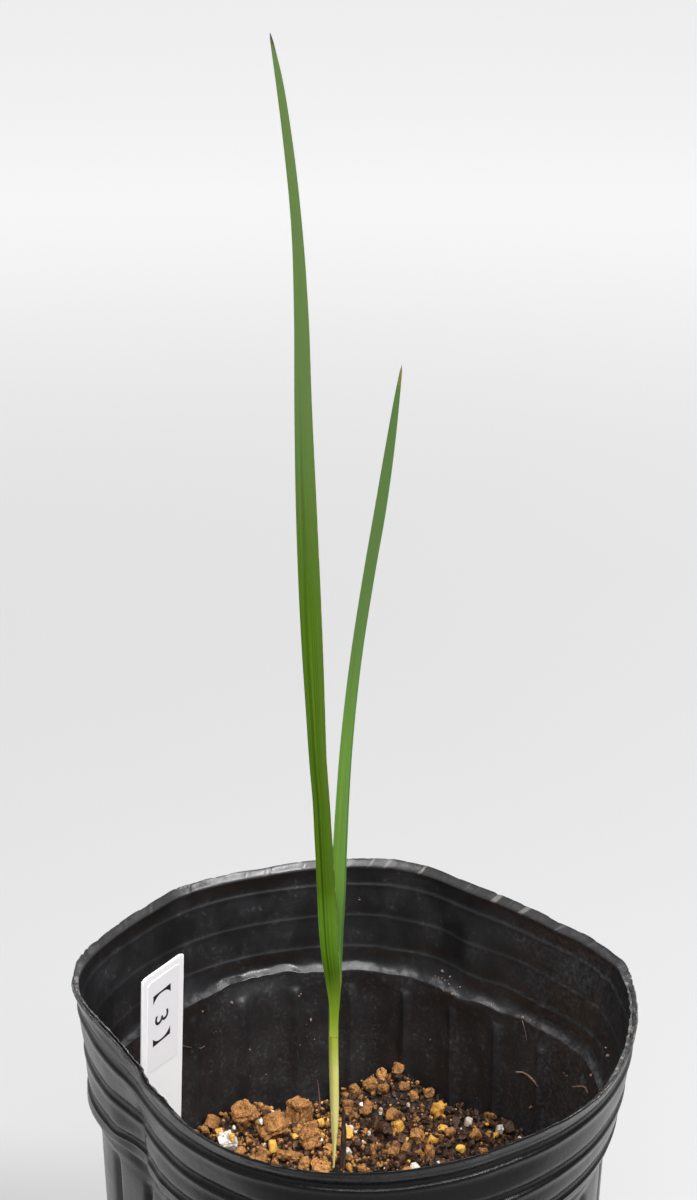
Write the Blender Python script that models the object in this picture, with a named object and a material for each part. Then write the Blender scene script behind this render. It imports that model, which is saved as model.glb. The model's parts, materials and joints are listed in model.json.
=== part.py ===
"""A young strap-leaved palm in a deep black nursery pot, at its real size.

Units are metres and +Z is up. The origin is the middle of the pot's flat
underside. The viewer stands at -Y, so +X is to the viewer's right.

The pot is one thin wall of soft plastic: a ringed collar over a fluted body,
squeezed out of round by two dents. The soil fills it part of the way. A thin
stem stands in the soil and parts into a tall leaf and a short leaf, with the
dry remains of an old sheath at its foot. A plastic label stands at the left.
"""
import math
import random

import bmesh
import bpy
from mathutils import Euler, Matrix, Vector, noise

# Clearance that neighbouring solids keep from each other
GAP = 0.0003

# Pot: heights above the floor and radii of the round pot before it is squeezed
POT_HEIGHT = 0.150
RIM_RADIUS = 0.0605
WALL = 0.0008
FLOOR_THICKNESS = 0.0012
COLLAR_HEIGHT = 0.0269
COLLAR_FOOT_RADIUS = 0.0570
BODY_TOP_RADIUS = 0.0548
BODY_FOOT_RADIUS = 0.0521
BASE_RADIUS = 0.0503
BASE_ROUND = 0.0026
RING_DEPTHS = (0.0063, 0.0140, 0.0216)
RING_GROOVE = 0.0006
RING_HALF_WIDTH = 0.0007
LIP_HEIGHT = 0.0024
LIP_STAND = 0.0004
LIP_EDGE_DROP = 0.0003
COLLAR_SLOPE = (RIM_RADIUS - COLLAR_FOOT_RADIUS) / COLLAR_HEIGHT
STEP_RISE = 0.0012

# Heights of the rows of points down the body, one of them at the soil's edge
SOIL_LEVEL = 0.0912
BODY_ROWS = (0.1060, SOIL_LEVEL, 0.0740, 0.0540, 0.0300, BASE_ROUND)

# Flutes that run down the body below the collar
FLUTES = 24
FLUTE_GROOVE = 0.0005
FLUTE_CROWN = 0.00012
FLUTE_COLUMNS = (0.0, 0.11, 0.5, 0.89)
FLUTE_FADE = 0.004

# Dents in the pot's plan: bearings and depths at the rim and at the collar's
# foot, half widths clockwise and anticlockwise of the bearing, and bluntness
DENTS = (
    (45.4, 50.0, 0.0072, 0.0058, 32.7, 34.1, 0.51),
    (-153.6, -147.0, 0.0091, 0.0064, 39.2, 69.1, 1.10),
    (103.7, 103.7, 0.0034, 0.0026, 64.9, 64.9, 1.00),
)
DENT_NONE_BELOW = 0.008

# Drain holes in the pot's floor
DRAIN_HOLES = 6
DRAIN_HOLE_RADIUS = 0.0042
DRAIN_CIRCLE_RADIUS = 0.0340

# Soil
SOIL_SLOPE_X = 0.030
SOIL_CLEARANCE = 0.0006
SOIL_COLUMNS = (0.0, 0.5)
SOIL_LUMP_HEIGHT = 0.0011
SOIL_LUMP_SIZE = 0.0065
SOIL_RINGS = 9
# Swells and hollows of the surface: place to the right and back, rise and spread
SOIL_SWELLS = (
    (0.0115, 0.0460, 0.0062, 0.0055),
    (-0.0120, 0.0460, -0.0060, 0.0060),
    (0.0360, 0.0320, 0.0026, 0.0090),
    (-0.0035, 0.0135, 0.0044, 0.0110),
)
GRANULES = 30
GRANULE_RADII = (0.0016, 0.0028)
GRANULE_SEED = 11
NAMED_GRANULES = (
    (-0.0265, 0.0369, 0.0032),
    (-0.0145, 0.0350, 0.0024),
    (-0.0187, 0.0312, 0.0019),
    (-0.0290, 0.0262, 0.0027),
    (-0.0212, 0.0415, 0.0022),
    (0.0105, 0.0452, 0.0024),
    (0.0160, 0.0415, 0.0018),
    (0.0060, 0.0415, 0.0020),
)

# Stem and the flat seat in the soil under it
STEM_FOOT = Vector((-0.0039, 0.0125, 0.0953))
STEM_SEAT_RADIUS = 0.0034
STEM_STATIONS = (
    (0.0953, -0.00390, 0.00145),
    (0.1000, -0.00375, 0.00165),
    (0.1060, -0.00366, 0.00185),
    (0.1150, -0.00366, 0.00195),
    (0.1230, -0.00380, 0.00222),
    (0.1300, -0.00384, 0.00230),
    (0.1350, -0.00380, 0.00238),
    (0.1400, -0.00372, 0.00262),
)
STEM_SIDES = 12

# Leaves: height, place to the right, place to the back and width at each station
LEAF_SIDES = 10
LEAF_FOOT = STEM_STATIONS[-1][0] + GAP
TALL_LEAF_THICKNESS = 0.0022
TALL_LEAF_STATIONS = (
    (LEAF_FOOT, -0.00438, 0.0125, 0.00105),
    (0.1501, -0.00465, 0.0125, 0.00300),
    (0.1576, -0.00512, 0.0125, 0.00335),
    (0.1724, -0.00577, 0.0125, 0.00365),
    (0.1973, -0.00686, 0.0125, 0.00368),
    (0.2111, -0.00743, 0.0127, 0.00405),
    (0.2245, -0.00796, 0.0129, 0.00438),
    (0.2502, -0.00882, 0.0135, 0.00425),
    (0.2747, -0.00938, 0.0144, 0.00345),
    (0.2925, -0.00960, 0.0152, 0.00282),
    (0.3096, -0.01035, 0.0161, 0.00210),
    (0.3262, -0.01200, 0.0172, 0.00175),
    (0.3371, -0.01352, 0.0179, 0.00128),
    (0.3447, -0.01496, 0.0185, 0.00040),
)
SHORT_LEAF_THICKNESS = 0.0016
SHORT_LEAF_STATIONS = (
    (LEAF_FOOT, -0.00303, 0.0125, 0.00105),
    (0.1501, -0.00242, 0.0125, 0.00100),
    (0.1576, -0.00240, 0.0125, 0.00165),
    (0.1724, -0.00243, 0.0125, 0.00260),
    (0.1868, -0.00190, 0.0125, 0.00285),
    (0.2009, -0.00100, 0.0124, 0.00262),
    (0.2215, 0.00100, 0.0119, 0.00238),
    (0.2415, 0.00378, 0.0112, 0.00235),
    (0.2544, 0.00578, 0.0105, 0.00232),
    (0.2671, 0.00752, 0.0097, 0.00185),
    (0.2794, 0.00906, 0.0088, 0.00088),
    (0.2842, 0.00968, 0.0084, 0.00030),
)

# Dry sheath that leans against the stem's right side
SHEATH_STATIONS = (
    (0.0953, -0.00215, 0.00150, 0.00090),
    (0.1020, -0.00195, 0.00130, 0.00080),
    (0.1080, -0.00195, 0.00090, 0.00060),
    (0.1120, -0.00205, 0.00045, 0.00040),
)
SHEATH_SIDES = 8

# Plant label: its top left corner, its turn about Z and its lean to the right
LABEL_CORNER = Vector((-0.0439, -0.0015, 0.1545))
LABEL_TURN = math.radians(57.3)
LABEL_LEAN = math.radians(4.4)
LABEL_WIDTH = 0.0142
LABEL_LENGTH = 0.0880
LABEL_POINT = 0.0140
LABEL_THICKNESS = 0.0006
LABEL_CORNER_RADIUS = 0.0013
TAPE_LEFT = 0.0016
TAPE_WIDTH = 0.0106
TAPE_TOP = 0.0016
TAPE_LENGTH = 0.0222
TAPE_THICKNESS = 0.0003

TURN = 2.0 * math.pi


def clear_scene():
    """Remove the objects that a new file starts with."""
    for obj in list(bpy.data.objects):
        bpy.data.objects.remove(obj, do_unlink=True)


def make_material(name, colour, roughness, metallic=0.0):
    """Return a plain Principled material."""
    material = bpy.data.materials.new(name)
    material.use_nodes = True
    shader = material.node_tree.nodes["Principled BSDF"]
    shader.inputs["Base Color"].default_value = (*colour, 1.0)
    shader.inputs["Roughness"].default_value = roughness
    shader.inputs["Metallic"].default_value = metallic
    return material


def make_object(name, mesh_builder, material, smooth_angle=35.0):
    """Turn a bmesh into a named object with outward faces."""
    bmesh.ops.recalc_face_normals(mesh_builder, faces=mesh_builder.faces)
    mesh = bpy.data.meshes.new(name)
    mesh_builder.to_mesh(mesh)
    mesh_builder.free()
    mesh.shade_smooth()
    mesh.set_sharp_from_angle(angle=math.radians(smooth_angle))
    mesh.materials.append(material)
    obj = bpy.data.objects.new(name, mesh)
    bpy.context.scene.collection.objects.link(obj)
    return obj


def as_cutter(obj):
    """Mark an object as a cutter that is not part of the model."""
    obj.hide_render = True
    obj.display_type = "WIRE"
    return obj


def cut(obj, cutter, name):
    """Cut one solid from another."""
    modifier = obj.modifiers.new(name, "BOOLEAN")
    modifier.operation = "DIFFERENCE"
    modifier.object = cutter
    modifier.solver = "EXACT"


def loft(rings, closed_start=True, closed_end=True):
    """Skin a list of equal rings of points, and close the ends with fans."""
    builder = bmesh.new()
    loops = [[builder.verts.new(point) for point in ring] for ring in rings]
    count = len(loops[0])
    for lower, upper in zip(loops, loops[1:]):
        for i in range(count):
            j = (i + 1) % count
            builder.faces.new((lower[i], lower[j], upper[j], upper[i]))
    for closed, loop in ((closed_start, loops[0]), (closed_end, loops[-1])):
        if closed:
            middle = sum((v.co for v in loop), Vector()) / count
            centre = builder.verts.new(middle)
            for i in range(count):
                builder.faces.new((loop[i], loop[(i + 1) % count], centre))
    return builder


def smooth_step(low, high, value):
    """Return 0 below low, 1 above high and a smooth rise between."""
    share = min(max((value - low) / (high - low), 0.0), 1.0)
    return share * share * (3.0 - 2.0 * share)


def dent_depth(angle, height):
    """Return how far the dents press the wall in at a bearing and height."""
    collar_foot = POT_HEIGHT - COLLAR_HEIGHT
    down = min((POT_HEIGHT - height) / COLLAR_HEIGHT, 1.0)
    depth = 0.0
    for rim_bearing, foot_bearing, rim_depth, foot_depth, clockwise, anticlockwise, bluntness in DENTS:
        bearing = rim_bearing + (foot_bearing - rim_bearing) * down
        deepest = rim_depth + (foot_depth - rim_depth) * down
        away = (math.degrees(angle) - bearing + 180.0) % 360.0 - 180.0
        share = min(abs(away) / (clockwise if away < 0.0 else anticlockwise), 1.0)
        depth += deepest * (0.5 + 0.5 * math.cos(math.pi * share)) ** bluntness
    return depth * smooth_step(DENT_NONE_BELOW, collar_foot, height)


def flute_depth(share, height):
    """Return the groove depth at a share of the way across one flute."""
    fade = 1.0 - smooth_step(POT_HEIGHT - COLLAR_HEIGHT - FLUTE_FADE,
                             POT_HEIGHT - COLLAR_HEIGHT, height)
    if share == 0.0:
        return FLUTE_GROOVE * fade
    return -FLUTE_CROWN * math.sin(math.pi * share) * fade


def pot_profile():
    """Return the round pot's outer profile as heights and radii, rim first."""
    points = [(POT_HEIGHT, RIM_RADIUS - LIP_STAND / 2.0)]
    points.append((POT_HEIGHT - LIP_EDGE_DROP, RIM_RADIUS))
    points.append((POT_HEIGHT - LIP_HEIGHT, RIM_RADIUS - COLLAR_SLOPE * LIP_HEIGHT))
    for depth in RING_DEPTHS:
        middle = RIM_RADIUS - LIP_STAND - COLLAR_SLOPE * depth
        for offset, groove in ((-RING_HALF_WIDTH, 0.0), (0.0, RING_GROOVE), (RING_HALF_WIDTH, 0.0)):
            points.append((POT_HEIGHT - depth - offset, middle - groove))
    foot = POT_HEIGHT - COLLAR_HEIGHT
    points.append((foot + 2.0 * STEP_RISE, RIM_RADIUS - LIP_STAND - COLLAR_SLOPE * COLLAR_HEIGHT))
    points.append((foot, BODY_TOP_RADIUS + STEP_RISE / 4.0))
    points.append((foot - STEP_RISE, BODY_TOP_RADIUS))
    for height in BODY_ROWS:
        share = (foot - height) / (foot - BASE_ROUND)
        points.append((height, BODY_TOP_RADIUS + (BODY_FOOT_RADIUS - BODY_TOP_RADIUS) * share))
    points.append((BASE_ROUND * 0.3, BODY_FOOT_RADIUS - BASE_ROUND * 0.25))
    points.append((0.0, BASE_RADIUS))
    return points


def pot_columns(shares=FLUTE_COLUMNS):
    """Yield the angle and the share of the flute of each column of points."""
    for flute in range(FLUTES):
        for share in shares:
            yield (flute + share) * TURN / FLUTES, share


def squeezed_ring(height, radius, shares=FLUTE_COLUMNS):
    """Return one ring of the pot's wall, fluted and dented."""
    ring = []
    for angle, share in pot_columns(shares):
        reach = radius - dent_depth(angle, height) - flute_depth(share, height)
        ring.append(Vector((reach * math.cos(angle), reach * math.sin(angle), height)))
    return ring


def build_pot(material):
    """Model the pot's wall and floor, with its drain holes."""
    outer = pot_profile()
    inner = [(height, radius - WALL) for height, radius in outer if height > FLOOR_THICKNESS]
    inner.append((FLOOR_THICKNESS, BASE_RADIUS - WALL))
    rings = [squeezed_ring(height, radius) for height, radius in reversed(outer)]
    rings += [squeezed_ring(height, radius) for height, radius in inner]
    pot = make_object("pot", loft(rings), material)
    for hole in range(DRAIN_HOLES):
        angle = hole * TURN / DRAIN_HOLES
        bpy.ops.mesh.primitive_cylinder_add(
            vertices=20, radius=DRAIN_HOLE_RADIUS, depth=4.0 * FLOOR_THICKNESS,
            location=(DRAIN_CIRCLE_RADIUS * math.cos(angle), DRAIN_CIRCLE_RADIUS * math.sin(angle), 0.0))
        cutter = as_cutter(bpy.context.object)
        cutter.name = f"drain_cutter_{hole + 1}"
        cut(pot, cutter, f"Drain hole {hole + 1}")
    return pot


def soil_height(x, y):
    """Return the height of the soil's lumpy surface."""
    height = SOIL_LEVEL + SOIL_SLOPE_X * x
    for middle_x, middle_y, rise, spread in SOIL_SWELLS:
        away = math.hypot(x - middle_x, y - middle_y)
        height += rise * math.exp(-away ** 2 / (2.0 * spread ** 2))
    return height + SOIL_LUMP_HEIGHT * noise.noise(Vector((x, y, 0.0)) / SOIL_LUMP_SIZE)


def soil_side_ring(height, radius):
    """Return a ring just inside the pot's wall."""
    return squeezed_ring(height, radius - WALL - SOIL_CLEARANCE, SOIL_COLUMNS)


def soil_top_ring(edge, scale):
    """Return a ring on the soil's surface, drawn in from its edge by a scale."""
    return [Vector((x * scale, y * scale, soil_height(x * scale, y * scale))) for x, y, _ in edge]


def granule_places():
    """Yield the place and radius of each large granule on the soil."""
    dice = random.Random(GRANULE_SEED)
    yield from NAMED_GRANULES
    kept = list(NAMED_GRANULES)
    label_foot = label_matrix() @ Vector((LABEL_WIDTH / 2.0, 0.0, SOIL_LEVEL - LABEL_CORNER.z))
    while len(kept) < len(NAMED_GRANULES) + GRANULES:
        radius = dice.uniform(*GRANULE_RADII)
        angle = dice.uniform(0.0, TURN)
        reach = 0.043 * math.sqrt(dice.random())
        x, y = reach * math.cos(angle), reach * math.sin(angle)
        clear = all(math.hypot(x - kx, y - ky) > radius + kr for kx, ky, kr in kept)
        off_stem = math.hypot(x - STEM_FOOT.x, y - STEM_FOOT.y) > radius + 0.0045
        off_label = math.hypot(x - label_foot.x, y - label_foot.y) > radius + 0.0095
        if clear and off_stem and off_label:
            kept.append((x, y, radius))
            yield x, y, radius


def build_granules(material):
    """Model the large granules as separate lumps in their own collection."""
    granules = bpy.data.collections.new("granules")
    bpy.context.scene.collection.children.link(granules)
    dice = random.Random(GRANULE_SEED + 1)
    for index, (x, y, radius) in enumerate(granule_places()):
        builder = bmesh.new()
        bmesh.ops.create_icosphere(builder, subdivisions=1, radius=radius)
        for vert in builder.verts:
            vert.co *= 1.0 + 0.16 * noise.noise(vert.co / radius * 1.7 + Vector((index, 0.0, 0.0)))
        stretch = Vector((dice.uniform(0.9, 1.2), dice.uniform(0.85, 1.1), dice.uniform(0.75, 0.95)))
        spin = Euler([dice.uniform(0.0, TURN) for _ in range(3)]).to_matrix().to_4x4()
        place = Matrix.Translation((x, y, soil_height(x, y) + 0.25 * radius))
        bmesh.ops.transform(builder, matrix=place @ spin @ Matrix.Diagonal((*stretch, 1.0)),
                            verts=builder.verts)
        granule = make_object(f"granule_{index + 1}", builder, material)
        bpy.context.scene.collection.objects.unlink(granule)
        granules.objects.link(granule)
    return granules


def build_soil(material):
    """Model the soil with its mound and granules, and its label slot and stem seat."""
    profile = [(height, radius) for height, radius in reversed(pot_profile())
               if FLOOR_THICKNESS + GAP < height <= SOIL_LEVEL]
    rings = [soil_side_ring(FLOOR_THICKNESS + GAP, BASE_RADIUS)]
    rings += [soil_side_ring(height, radius) for height, radius in profile]
    edge = rings.pop()
    for step in range(SOIL_RINGS):
        rings.append(soil_top_ring(edge, 1.0 - step / SOIL_RINGS))
    soil = make_object("soil", loft(rings), material, smooth_angle=60.0)
    granules = build_granules(material)
    join = soil.modifiers.new("Granules", "BOOLEAN")
    join.operation = "UNION"
    join.operand_type = "COLLECTION"
    join.collection = granules
    join.solver = "EXACT"
    bpy.context.view_layer.objects.active = soil
    bpy.ops.object.modifier_apply(modifier=join.name)
    for granule in list(granules.objects):
        bpy.data.objects.remove(granule, do_unlink=True)
    bpy.data.collections.remove(granules)
    slot = label_solid("label_slot", material, GAP)
    cut(soil, as_cutter(slot), "Label slot")
    bpy.ops.mesh.primitive_cylinder_add(
        vertices=24, radius=STEM_SEAT_RADIUS, depth=0.010,
        location=(STEM_FOOT.x + 0.0006, STEM_FOOT.y, STEM_FOOT.z - GAP + 0.005))
    seat = as_cutter(bpy.context.object)
    seat.name = "stem_seat"
    cut(soil, seat, "Stem seat")
    return soil


def oval_ring(middle, width, thickness, sides):
    """Return a level oval ring of points."""
    ring = []
    for side in range(sides):
        angle = side * TURN / sides
        ring.append(middle + Vector((width / 2.0 * math.cos(angle),
                                     thickness / 2.0 * math.sin(angle), 0.0)))
    return ring


def build_stem(material):
    """Model the stem from its flat cut at the soil to where the leaves part."""
    rings = []
    for height, x, thickness in STEM_STATIONS:
        rings.append(oval_ring(Vector((x, STEM_FOOT.y, height)), thickness, thickness, STEM_SIDES))
    return make_object("stem", loft(rings), material)


def build_leaf(name, stations, thickness, material):
    """Model one strap leaf as a thin blade that is widest in its middle."""
    widest = max(width for _, _, _, width in stations)
    rings = []
    for height, x, y, width in stations:
        depth = thickness * min(1.0, 0.35 + width / widest)
        rings.append(oval_ring(Vector((x, y, height)), width, depth, LEAF_SIDES))
    return make_object(name, loft(rings), material)


def build_spent_sheath(material):
    """Model the dry, pointed remains of an old sheath beside the stem."""
    rings = []
    for height, x, width, depth in SHEATH_STATIONS:
        rings.append(oval_ring(Vector((x + GAP, STEM_FOOT.y, height)), width, depth, SHEATH_SIDES))
    return make_object("spent_sheath", loft(rings), material)


def label_matrix():
    """Return the label's frame: x across it, -y out of its face and z up it."""
    return (Matrix.Translation(LABEL_CORNER)
            @ Matrix.Rotation(LABEL_TURN, 4, "Z")
            @ Matrix.Rotation(LABEL_LEAN, 4, "Y"))


def plate(outline, front, back):
    """Return a flat plate between two depths, from its outline of x and z."""
    near = [Vector((x, front, z)) for x, z in outline]
    far = [Vector((x, back, z)) for x, z in outline]
    return loft([near, far])


def label_outline(margin):
    """Return the label's outline: round corners above and a point below."""
    points = []
    for centre_x, start in ((LABEL_CORNER_RADIUS, 180.0), (LABEL_WIDTH - LABEL_CORNER_RADIUS, 90.0)):
        for step in range(4):
            angle = math.radians(start - 30.0 * step)
            reach = LABEL_CORNER_RADIUS + margin
            points.append((centre_x + reach * math.cos(angle),
                           -LABEL_CORNER_RADIUS + reach * math.sin(angle)))
    points.append((LABEL_WIDTH + margin, -LABEL_LENGTH + LABEL_POINT - margin))
    points.append((LABEL_WIDTH * 0.6, -LABEL_LENGTH - margin))
    points.append((LABEL_WIDTH * 0.4, -LABEL_LENGTH - margin))
    points.append((-margin, -LABEL_LENGTH + LABEL_POINT - margin))
    return points


def label_solid(name, material, margin=0.0):
    """Model the label, or its slot when it is given a margin."""
    half = LABEL_THICKNESS / 2.0 + margin
    builder = plate(label_outline(margin), -half, half)
    bmesh.ops.transform(builder, matrix=label_matrix(), verts=builder.verts)
    return make_object(name, builder, material)


def build_label_tape(material):
    """Model the printed tape on the label's face."""
    right = TAPE_LEFT + TAPE_WIDTH
    foot = -TAPE_TOP - TAPE_LENGTH
    outline = [(TAPE_LEFT, -TAPE_TOP), (right, -TAPE_TOP), (right, foot), (TAPE_LEFT, foot)]
    back = -LABEL_THICKNESS / 2.0 - GAP
    builder = plate(outline, back - TAPE_THICKNESS, back)
    bmesh.ops.transform(builder, matrix=label_matrix(), verts=builder.verts)
    return make_object("label_tape", builder, material)


def main():
    """Build every part of the potted palm."""
    clear_scene()
    build_pot(make_material("black_plastic", (0.018, 0.019, 0.021), 0.38))
    build_soil(make_material("soil", (0.20, 0.105, 0.05), 0.95))
    build_stem(make_material("stem_green", (0.50, 0.55, 0.20), 0.55))
    tall_green = make_material("tall_leaf_green", (0.13, 0.25, 0.05), 0.50)
    build_leaf("leaf_tall", TALL_LEAF_STATIONS, TALL_LEAF_THICKNESS, tall_green)
    short_green = make_material("short_leaf_green", (0.17, 0.32, 0.10), 0.50)
    build_leaf("leaf_short", SHORT_LEAF_STATIONS, SHORT_LEAF_THICKNESS, short_green)
    build_spent_sheath(make_material("dry_sheath", (0.09, 0.045, 0.035), 0.85))
    label_solid("label", make_material("white_plastic", (0.85, 0.85, 0.86), 0.40))
    build_label_tape(make_material("printed_tape", (0.82, 0.80, 0.84), 0.45))


main()
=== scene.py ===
"""Studio scene of a young strap-leaved palm in a deep black nursery pot.

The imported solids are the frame: metres, +Z up, the origin in the middle of the
pot's underside, the viewer at -Y. Every piece made here keeps to its solid's
place and rides on the one body that the part has.
"""
from __future__ import annotations

import json
import logging
import math
import random
from collections.abc import Callable, Iterable, Iterator, Sequence
from contextlib import contextmanager
from dataclasses import dataclass, field
from enum import Enum

import bpy
import numpy as np
from mathutils import Euler, Matrix, Vector, noise

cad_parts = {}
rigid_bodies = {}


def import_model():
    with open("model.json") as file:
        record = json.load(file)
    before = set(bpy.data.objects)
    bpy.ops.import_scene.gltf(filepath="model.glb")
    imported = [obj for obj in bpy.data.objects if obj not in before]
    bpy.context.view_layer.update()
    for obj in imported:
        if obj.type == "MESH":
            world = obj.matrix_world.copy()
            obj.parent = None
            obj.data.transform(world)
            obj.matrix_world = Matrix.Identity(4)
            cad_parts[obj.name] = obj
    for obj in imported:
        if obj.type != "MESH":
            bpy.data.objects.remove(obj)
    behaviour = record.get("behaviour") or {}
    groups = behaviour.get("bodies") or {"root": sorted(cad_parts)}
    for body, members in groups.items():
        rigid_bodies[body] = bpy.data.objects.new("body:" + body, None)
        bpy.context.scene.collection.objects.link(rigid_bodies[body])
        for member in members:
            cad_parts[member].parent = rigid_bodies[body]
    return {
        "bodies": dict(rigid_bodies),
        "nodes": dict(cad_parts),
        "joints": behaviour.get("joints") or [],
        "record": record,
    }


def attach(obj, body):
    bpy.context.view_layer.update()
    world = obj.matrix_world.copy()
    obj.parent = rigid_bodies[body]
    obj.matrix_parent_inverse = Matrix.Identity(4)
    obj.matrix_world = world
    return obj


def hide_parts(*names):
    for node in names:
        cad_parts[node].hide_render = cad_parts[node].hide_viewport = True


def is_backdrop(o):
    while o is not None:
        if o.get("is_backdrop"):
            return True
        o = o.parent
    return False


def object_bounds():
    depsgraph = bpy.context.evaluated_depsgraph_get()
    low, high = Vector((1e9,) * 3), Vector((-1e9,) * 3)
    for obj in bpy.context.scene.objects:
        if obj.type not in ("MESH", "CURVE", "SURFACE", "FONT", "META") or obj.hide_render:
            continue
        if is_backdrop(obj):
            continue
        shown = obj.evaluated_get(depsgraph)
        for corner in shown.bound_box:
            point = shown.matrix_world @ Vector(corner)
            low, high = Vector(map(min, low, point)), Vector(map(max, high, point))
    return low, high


LOG = logging.getLogger("potted_palm")
BODY = "root"
MM = 0.001
TURN = 2.0 * math.pi

Colour = tuple[float, float, float]
Array = np.ndarray


class Node(Enum):
    """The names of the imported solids."""

    POT = "pot"
    SOIL = "soil"
    STEM = "stem"
    LEAF_TALL = "leaf_tall"
    LEAF_SHORT = "leaf_short"
    SHEATH = "spent_sheath"
    LABEL = "label"
    TAPE = "label_tape"


class Slot(Enum):
    """The material slots of the record."""

    POT = "pot_plastic"
    SOIL = "soil_mix"
    STEM = "stem"
    FOLIAGE = "foliage"
    SHEATH = "dry_sheath"
    LABEL = "label_plastic"
    TAPE = "tape"


class Signal:
    """One shader socket that can be used in a Python expression."""

    def __init__(self, bench: "Bench", socket: bpy.types.NodeSocket) -> None:
        """Keep the socket and the bench that its material is made on.

        Args:
            bench: The bench whose node tree holds the socket.
            socket: The output socket that carries the value.
        """
        self.bench = bench
        self.socket = socket

    def _math(self, operation: str, *values: "Signal | float") -> "Signal":
        """Add one Math node.

        Args:
            operation: The node's operation.
            values: Its inputs, in order.

        Returns:
            The node's result.
        """
        return self.bench.node("ShaderNodeMath", {"operation": operation}, dict(enumerate(values)))

    def __add__(self, other: "Signal | float") -> "Signal":
        """Return self + other."""
        return self._math("ADD", self, other)

    __radd__ = __add__

    def __sub__(self, other: "Signal | float") -> "Signal":
        """Return self - other."""
        return self._math("SUBTRACT", self, other)

    def __rsub__(self, other: "Signal | float") -> "Signal":
        """Return other - self."""
        return self._math("SUBTRACT", other, self)

    def __mul__(self, other: "Signal | float") -> "Signal":
        """Return self * other."""
        return self._math("MULTIPLY", self, other)

    __rmul__ = __mul__

    def __truediv__(self, other: "Signal | float") -> "Signal":
        """Return self / other."""
        return self._math("DIVIDE", self, other)

    def __abs__(self) -> "Signal":
        """Return the absolute value."""
        return self._math("ABSOLUTE", self)

    def root(self) -> "Signal":
        """Return the square root."""
        return self._math("SQRT", self)

    def ramp(self, low: float, high: float) -> "Signal":
        """Return 0 at low and 1 at high, smoothly, and clamped outside.

        Args:
            low: The value that becomes 0.
            high: The value that becomes 1.

        Returns:
            The share of the way from low to high.
        """
        if low > high:
            return 1.0 - self.ramp(high, low)
        settings = {"interpolation_type": "SMOOTHSTEP"}
        return self.bench.node("ShaderNodeMapRange", settings, {0: self, 1: low, 2: high})


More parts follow.
